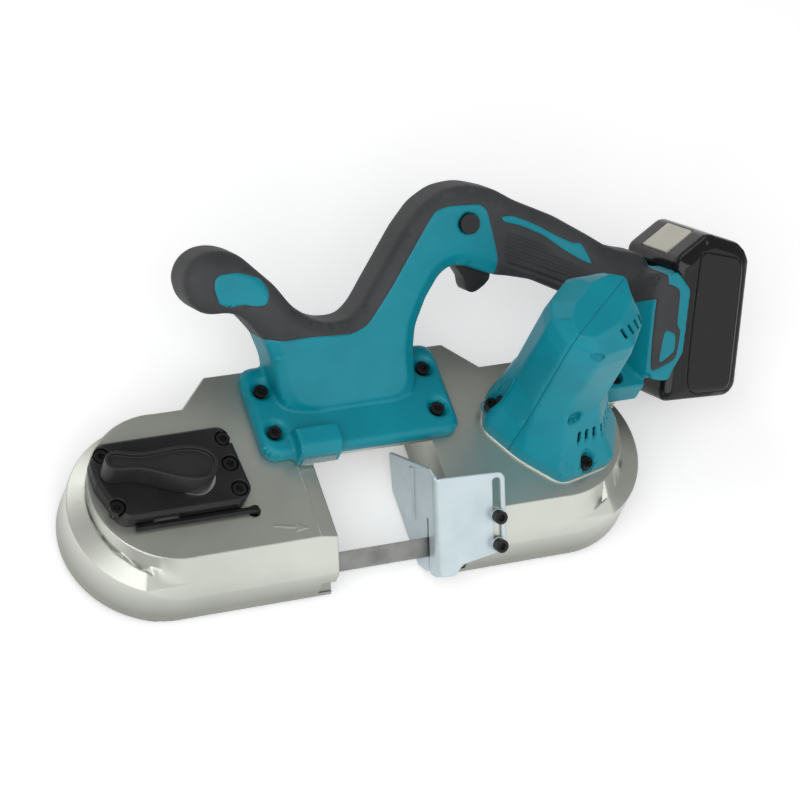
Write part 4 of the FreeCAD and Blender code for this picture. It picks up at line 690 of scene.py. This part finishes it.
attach(motorShell, "saw")
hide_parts(*motorNodes)
print("motor shell", len(motorShell.data.polygons))

# Machined seat that shows as a thin rim round the motor flange, its corners in shares of its radius
seatLook = dict(middle=(133, 16), radius=31, rim=1.3, low=47.9, high=49.1, corner=7, cornerSteps=8, edge=0.4,
                edgeLimit=60,
                shares=[(-1.65, 0.06), (-1.32, 0.77), (-0.48, 1.42), (0.4, 1.31), (1.04, 0.76), (1.2, -0.36),
                        (0.8, -1.22), (-0.39, -1.48), (-1.1, -0.78)])
seatPlaces = []
for shareX, shareY in seatLook["shares"]:
    grown = seatLook["radius"] + seatLook["rim"] / math.hypot(shareX, shareY)
    seatX = seatLook["middle"][0] + shareX * grown
    seatY = seatLook["middle"][1] + shareY * grown
    seatPlaces.append(sawPoint(seatX, seatY, seatLook["low"]))
flangeSeat = flatFace("flangeSeat", seatPlaces)
bpy.ops.object.mode_set(mode="EDIT")
bpy.ops.mesh.select_all(action="SELECT")
bpy.ops.mesh.bevel(offset=seatLook["corner"] / 1000, segments=seatLook["cornerSteps"], affect="VERTICES")
bpy.ops.object.mode_set(mode="OBJECT")
extruded(flangeSeat, (0, 0, (seatLook["high"] - seatLook["low"]) / 1000))
facesOut(flangeSeat)
bevelled(flangeSeat, seatLook["edge"], limit=seatLook["edgeLimit"])
smoothedBy(flangeSeat)
wear(flangeSeat, coat["castingPaint"])
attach(flangeSeat, "saw")
print("flange seat", len(flangeSeat.data.polygons))

# Wells round the housing screws, closed up to the shell's own slope
wellLook = dict(places=[(89.6, 28.4), (137.34, -22.44), (142.3, 51.96)], radius=5.75, floor=54.2, wall=0.9,
                sides=56, sky=200, least=0.2, spread=1.06, under=0.6)


def makeWell(place):
    bpy.ops.object.select_all(action="DESELECT")
    radius = wellLook["radius"] / 1000
    bpy.ops.mesh.primitive_circle_add(vertices=wellLook["sides"], radius=radius, location=place)
    well = bpy.context.active_object
    bpy.ops.object.transform_apply(location=True, rotation=True, scale=True)
    extruded(well, (0, 0, wellLook["least"] / 1000))
    # the upper rim ends just under the shell, found by a ray from above
    lowest = place.z + wellLook["least"] / 1000
    for vert in well.data.vertices:
        if vert.co.z > (place.z + lowest) / 2:
            out = place + (vert.co - place) * wellLook["spread"]
            above = Vector((out.x, out.y, wellLook["sky"] / 1000))
            hit, where, *_ = motorShell.ray_cast(above, Vector((0, 0, -1)))
            if hit:
                vert.co.z = max(where.z - wellLook["under"] / 1000, lowest)
    thick = well.modifiers.new("thick", "SOLIDIFY")
    thick.thickness = wellLook["wall"] / 1000
    thick.offset = 1
    applyAll(well)
    return well


screwWells = joined([makeWell(sawPoint(x, y, wellLook["floor"])) for x, y in wellLook["places"]])
screwWells.name = "screwWells"
facesOut(screwWells)
wear(screwWells, coat["tealPlastic"])
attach(screwWells, "saw")
print("screw wells", len(screwWells.data.polygons))

# Battery: glossy case with a bare panel on each cheek, drawn across and along the pack from its foot
packLook = dict(foot=(207, 39, 14), lean=8, voxel=1.2, steps=6, line=0.55, lineWidth=1.1, lineDepth=0.4,
                cheek=34, pocketGap=0.5, pressTravel=3.2, pressAxis=(0.5214, -0.6138, -0.5928),
                panel=[(14.5, 5), (15.5, 97), (18, 99.5), (44, 96), (49, 91), (49, 13), (46, 8)])
packCase = copyNodes("packCase", ["battery_case"])
remeshed(packCase, packLook["voxel"], packLook["steps"])
# the button's pocket is cut free again, at rest and pressed
pocketTool = copyNodes("pocketTool", ["battery_button"])
swollen(pocketTool, packLook["pocketGap"])
for travel in (0, packLook["pressTravel"]):
    pocketTool.location = Vector(packLook["pressAxis"]) * travel / 1000
    cutBy(packCase, pocketTool)
bpy.data.objects.remove(pocketTool)
smoothedBy(packCase)
packX, packDepth, packHeight = planePlaces(packCase)
footX, footDepth, footHeight = packLook["foot"]
packLean = math.radians(packLook["lean"])
acrossPack = (packX - footX) * math.cos(packLean) - (packHeight - footHeight) * math.sin(packLean)
alongPack = (packX - footX) * math.sin(packLean) + (packHeight - footHeight) * math.cos(packLean)
onCheek = np.abs(packDepth - footDepth) > packLook["cheek"]
panelEdge = np.where(onCheek, edgeDistance(acrossPack, alongPack, rounded(packLook["panel"])), farOff)
pushed(packCase, lineDip(panelEdge, packLook["lineWidth"], packLook["lineDepth"]))
keepAttribute(packCase, "grooveEdge", panelEdge)
wear(packCase, addGroove(makeFinish("packGloss", finishes["packBlack"]), packLook["line"]))
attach(packCase, "pack")
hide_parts("battery_case")
print("battery case", len(packCase.data.polygons))

# Small mouldings softened from their solids: voxel size, smoothing steps, body, slot and finish
softPieces = {
    "leverBody": dict(node="tension_lever", voxel=0.5, steps=4, body="lever", slot="black_plastic",
                      finish="leverPlastic"),
    "tensionPlate": dict(node="tension_base_plate", voxel=0.6, steps=3, body="saw", slot="black_plastic",
                         finish="blackPlastic"),
    "lockKnob": dict(node="lock_button", voxel=0.4, steps=6, body="lock", slot="black_plastic",
                     finish="leverPlastic"),
    "latchPad": dict(node="battery_button", voxel=0.5, steps=6, body="pack_latch", slot="cream_plastic",
                     finish="creamPlastic"),
}
for pieceName, look in softPieces.items():
    piece = copyNodes(pieceName, [look["node"]])
    remeshed(piece, look["voxel"], look["steps"])
    wear(piece, coat[look["finish"]])
    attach(piece, look["body"])
    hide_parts(look["node"])
    print(pieceName, len(piece.data.polygons))

# Trigger: hooked finger rest, drawn in the handle's shares and pushed out to its width
triggerLook = dict(profile=[(0.252, 0.7), (0.266, 0.662), (0.275, 0.635), (0.277, 0.604), (0.282, 0.585),
                            (0.292, 0.578), (0.304, 0.583), (0.32, 0.6), (0.333, 0.622), (0.336, 0.66),
                            (0.3, 0.7)],
                   near=31.2, far=46.8, edge=1.2, edgeLimit=50, smooth=40)
triggerPlaces = [planePoint(x, triggerLook["near"], t) for x, t in handleOutline(triggerLook["profile"])]
trigger = flatFace("triggerHook", triggerPlaces)
extruded(trigger, planeBack * (triggerLook["far"] - triggerLook["near"]) / 1000)
facesOut(trigger)
bevelled(trigger, triggerLook["edge"], limit=triggerLook["edgeLimit"])
smoothedBy(trigger, triggerLook["smooth"])
wear(trigger, coat["blackPlastic"])
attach(trigger, "trigger_body")
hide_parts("trigger")
print("trigger", len(trigger.data.polygons))

# Work stop: softened plate with its fold rolled to a round corner
stopLook = dict(voxel=0.6, steps=2, foldX=30, foldDepth=-28.8, radius=4.2)
stopPlate = copyNodes("stopPlate", ["work_stop_plate"])
remeshed(stopPlate, stopLook["voxel"], stopLook["steps"])
stopX, stopDepth, stopHeight = planePlaces(stopPlate)
rollX = stopLook["foldX"] + stopLook["radius"]
rollDepth = stopLook["foldDepth"] + stopLook["radius"]
sideways = rollX - stopX
inwards = rollDepth - stopDepth
inFold = (np.minimum(sideways, inwards) > 0) & (np.maximum(sideways, inwards) <= stopLook["radius"])
# each square ring round the roll's axis becomes a circle
roundShare = np.maximum(sideways, inwards) / np.maximum(np.hypot(sideways, inwards), tiny)
stopX = np.where(inFold, rollX - sideways * roundShare, stopX)
stopDepth = np.where(inFold, rollDepth - inwards * roundShare, stopDepth)
rolled = np.outer(stopX, (1, 0, 0)) + np.outer(stopDepth, planeBack) + np.outer(stopHeight, planeUp)
putPlaces(stopPlate, rolled / 1000 + np.array(planeOrigin))
wear(stopPlate, coat["zincPlate"])
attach(stopPlate, "stop")
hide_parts("work_stop_plate")
print("work stop", len(stopPlate.data.polygons))

# Cast ridge across the top beside the throat
ridgeLook = dict(start=(-45.1, 17.2), finish=(-45.2, -39.0), width=1.1, height=0.9, base=47.8, edge=0.35)
ridgeStart = Vector(ridgeLook["start"])
ridgeEnd = Vector(ridgeLook["finish"])
ridgeRun = ridgeEnd - ridgeStart
ridgeMiddle = (ridgeStart + ridgeEnd) / 2
bpy.ops.object.select_all(action="DESELECT")
bpy.ops.mesh.primitive_cube_add(size=1)
topRidge = bpy.context.active_object
topRidge.name = "topRidge"
topRidge.scale = Vector((ridgeRun.length, ridgeLook["width"], ridgeLook["height"])) / 1000
topRidge.rotation_euler = (0, 0, math.atan2(ridgeRun.y, ridgeRun.x))
topRidge.location = sawPoint(*ridgeMiddle, ridgeLook["base"] + ridgeLook["height"] / 2)
bpy.ops.object.transform_apply(location=True, rotation=True, scale=True)
bevelled(topRidge, ridgeLook["edge"])
smoothedBy(topRidge)
wear(topRidge, coat["castingPaint"])
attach(topRidge, "saw")
print("top ridge", len(topRidge.data.polygons))

# Plain arrow standing proud of the casting, pointing the way the blade runs
arrowLook = dict(tail=(-72.6, -26.5), tip=(-51.4, -31.6), height=48, shaft=2.0, barb=6.5, head=0.36,
                 neck=0.1, point=0.08, proud=0.5, edge=0.3, near=0.01)
arrowTail = sawPoint(*arrowLook["tail"], arrowLook["height"])
arrowRun = sawPoint(*arrowLook["tip"], arrowLook["height"]) - arrowTail
headLength = arrowRun.length * arrowLook["head"]
shaftLength = arrowRun.length * (1 - arrowLook["head"])
neckLength = arrowLook["neck"] / 1000
bpy.ops.object.select_all(action="DESELECT")
bpy.ops.mesh.primitive_plane_add(size=1, location=(0, 0, 0))
arrow = bpy.context.active_object
arrow.name = "wayArrow"
bpy.ops.object.mode_set(mode="EDIT")
bpy.ops.mesh.select_all(action="SELECT")
bpy.ops.transform.resize(value=(shaftLength, arrowLook["shaft"] / 1000, 1))
bpy.ops.transform.translate(value=(shaftLength / 2, 0, 0))
bpy.ops.object.mode_set(mode="OBJECT")
# the shaft's far end is drawn out to the barbs and on to the point
for vert in arrow.data.vertices:
    vert.select = abs(vert.co.x - shaftLength) < arrowLook["near"] / 1000
for edge in arrow.data.edges:
    edge.select = all(arrow.data.vertices[k].select for k in edge.vertices)
for face in arrow.data.polygons:
    face.select = False
bpy.ops.object.mode_set(mode="EDIT")
bpy.ops.mesh.extrude_region_move(TRANSFORM_OT_translate={"value": (neckLength, 0, 0)})
bpy.ops.transform.resize(value=(1, arrowLook["barb"] / arrowLook["shaft"], 1))
bpy.ops.mesh.extrude_region_move(TRANSFORM_OT_translate={"value": (headLength - neckLength, 0, 0)})
bpy.ops.transform.resize(value=(1, arrowLook["point"], 1))
bpy.ops.object.mode_set(mode="OBJECT")
extruded(arrow, (0, 0, arrowLook["proud"] / 1000))
facesOut(arrow)
arrow.location = arrowTail
arrow.rotation_euler = (0, 0, math.atan2(arrowRun.y, arrowRun.x))
bpy.ops.object.transform_apply(location=True, rotation=True, scale=True)
bevelled(arrow, arrowLook["edge"], segments=2)
wear(arrow, coat["castingPaint"])
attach(arrow, "saw")
print("arrow", len(arrow.data.polygons))

# Camera at the photograph's angle, in metres, with its own right, up and back
cameraSet = dict(place=(-0.7412, -0.8387, 1.6113), lens=137.34, sensor=36,
                 right=(0.91379, -0.30792, 0.26491), up=(0.13448, 0.84474, 0.51801),
                 back=(-0.38329, -0.43773, 0.81332))
camData = bpy.data.cameras.new("photoView")
camData.lens = cameraSet["lens"]
camData.sensor_width = cameraSet["sensor"]
camData.sensor_fit = "HORIZONTAL"
cam = bpy.data.objects.new("photoView", camData)
scene.collection.objects.link(cam)
camTurn = Matrix((cameraSet["right"], cameraSet["up"], cameraSet["back"])).transposed()
cam.matrix_world = Matrix.Translation(cameraSet["place"]) @ camTurn.to_4x4()
scene.camera = cam

# Floor, soft light and surround, in metres
stageSet = dict(floorSize=18, floorDrop=0.0005, floorTone=(0.9, 0.9, 0.9, 1), floorDull=0.9, floorGloss=0.1,
                floorLift=0.3, white=(1, 1, 1, 1), skyStrength=0.32, aim=(0, 0, 0.06))
bpy.ops.object.select_all(action="DESELECT")
bpy.ops.mesh.primitive_plane_add(size=stageSet["floorSize"], location=(0, 0, -stageSet["floorDrop"]))
floor = bpy.context.active_object
floor.name = "paleFloor"
floorMat = bpy.data.materials.new("paleFloor")
floorMat.use_nodes = True
floorTree = floorMat.node_tree
floorShader = floorTree.nodes["Principled BSDF"]
floorShader.inputs["Base Color"].default_value = stageSet["floorTone"]
floorShader.inputs["Roughness"].default_value = stageSet["floorDull"]
floorShader.inputs["Specular IOR Level"].default_value = stageSet["floorGloss"]
floorShader.inputs["Emission Color"].default_value = stageSet["white"]
# seen directly or in metal the floor is a little whiter, and it keeps its shadow
rays = addNode(floorTree, "LightPath")
seen = addNode(floorTree, "Math", operation="MAXIMUM")
seenToo = addNode(floorTree, "Math", operation="MAXIMUM")
whiter = addNode(floorTree, "Math", {1: stageSet["floorLift"]}, operation="MULTIPLY")
floorTree.links.new(rays.outputs["Is Camera Ray"], seen.inputs[0])
floorTree.links.new(rays.outputs["Is Glossy Ray"], seen.inputs[1])
floorTree.links.new(seen.outputs["Value"], seenToo.inputs[0])
floorTree.links.new(rays.outputs["Is Transmission Ray"], seenToo.inputs[1])
floorTree.links.new(seenToo.outputs["Value"], whiter.inputs[0])
floorTree.links.new(whiter.outputs["Value"], floorShader.inputs["Emission Strength"])
floor.data.materials.append(floorMat)

world = bpy.data.worlds.new("studio")
scene.world = world
world.use_nodes = True
sky = world.node_tree.nodes["Background"]
sky.inputs["Color"].default_value = stageSet["white"]
sky.inputs["Strength"].default_value = stageSet["skyStrength"]

lamps = {
    "keySoftbox": dict(place=(-1.0, -0.9, 1.5), size=1.6, power=22),
    "lowSoftbox": dict(place=(0.75, -1.5, 0.95), size=2.4, power=17),
    "rimSoftbox": dict(place=(-0.6, 1.4, 1.2), size=1.0, power=7),
}
for name, look in lamps.items():
    data = bpy.data.lights.new(name, "AREA")
    data.size = look["size"]
    data.energy = look["power"]
    lamp = bpy.data.objects.new(name, data)
    scene.collection.objects.link(lamp)
    lamp.location = look["place"]
    lampAim = Vector(stageSet["aim"]) - Vector(look["place"])
    lamp.rotation_euler = lampAim.to_track_quat("-Z", "Y").to_euler()
print("camera, floor and lamps set")
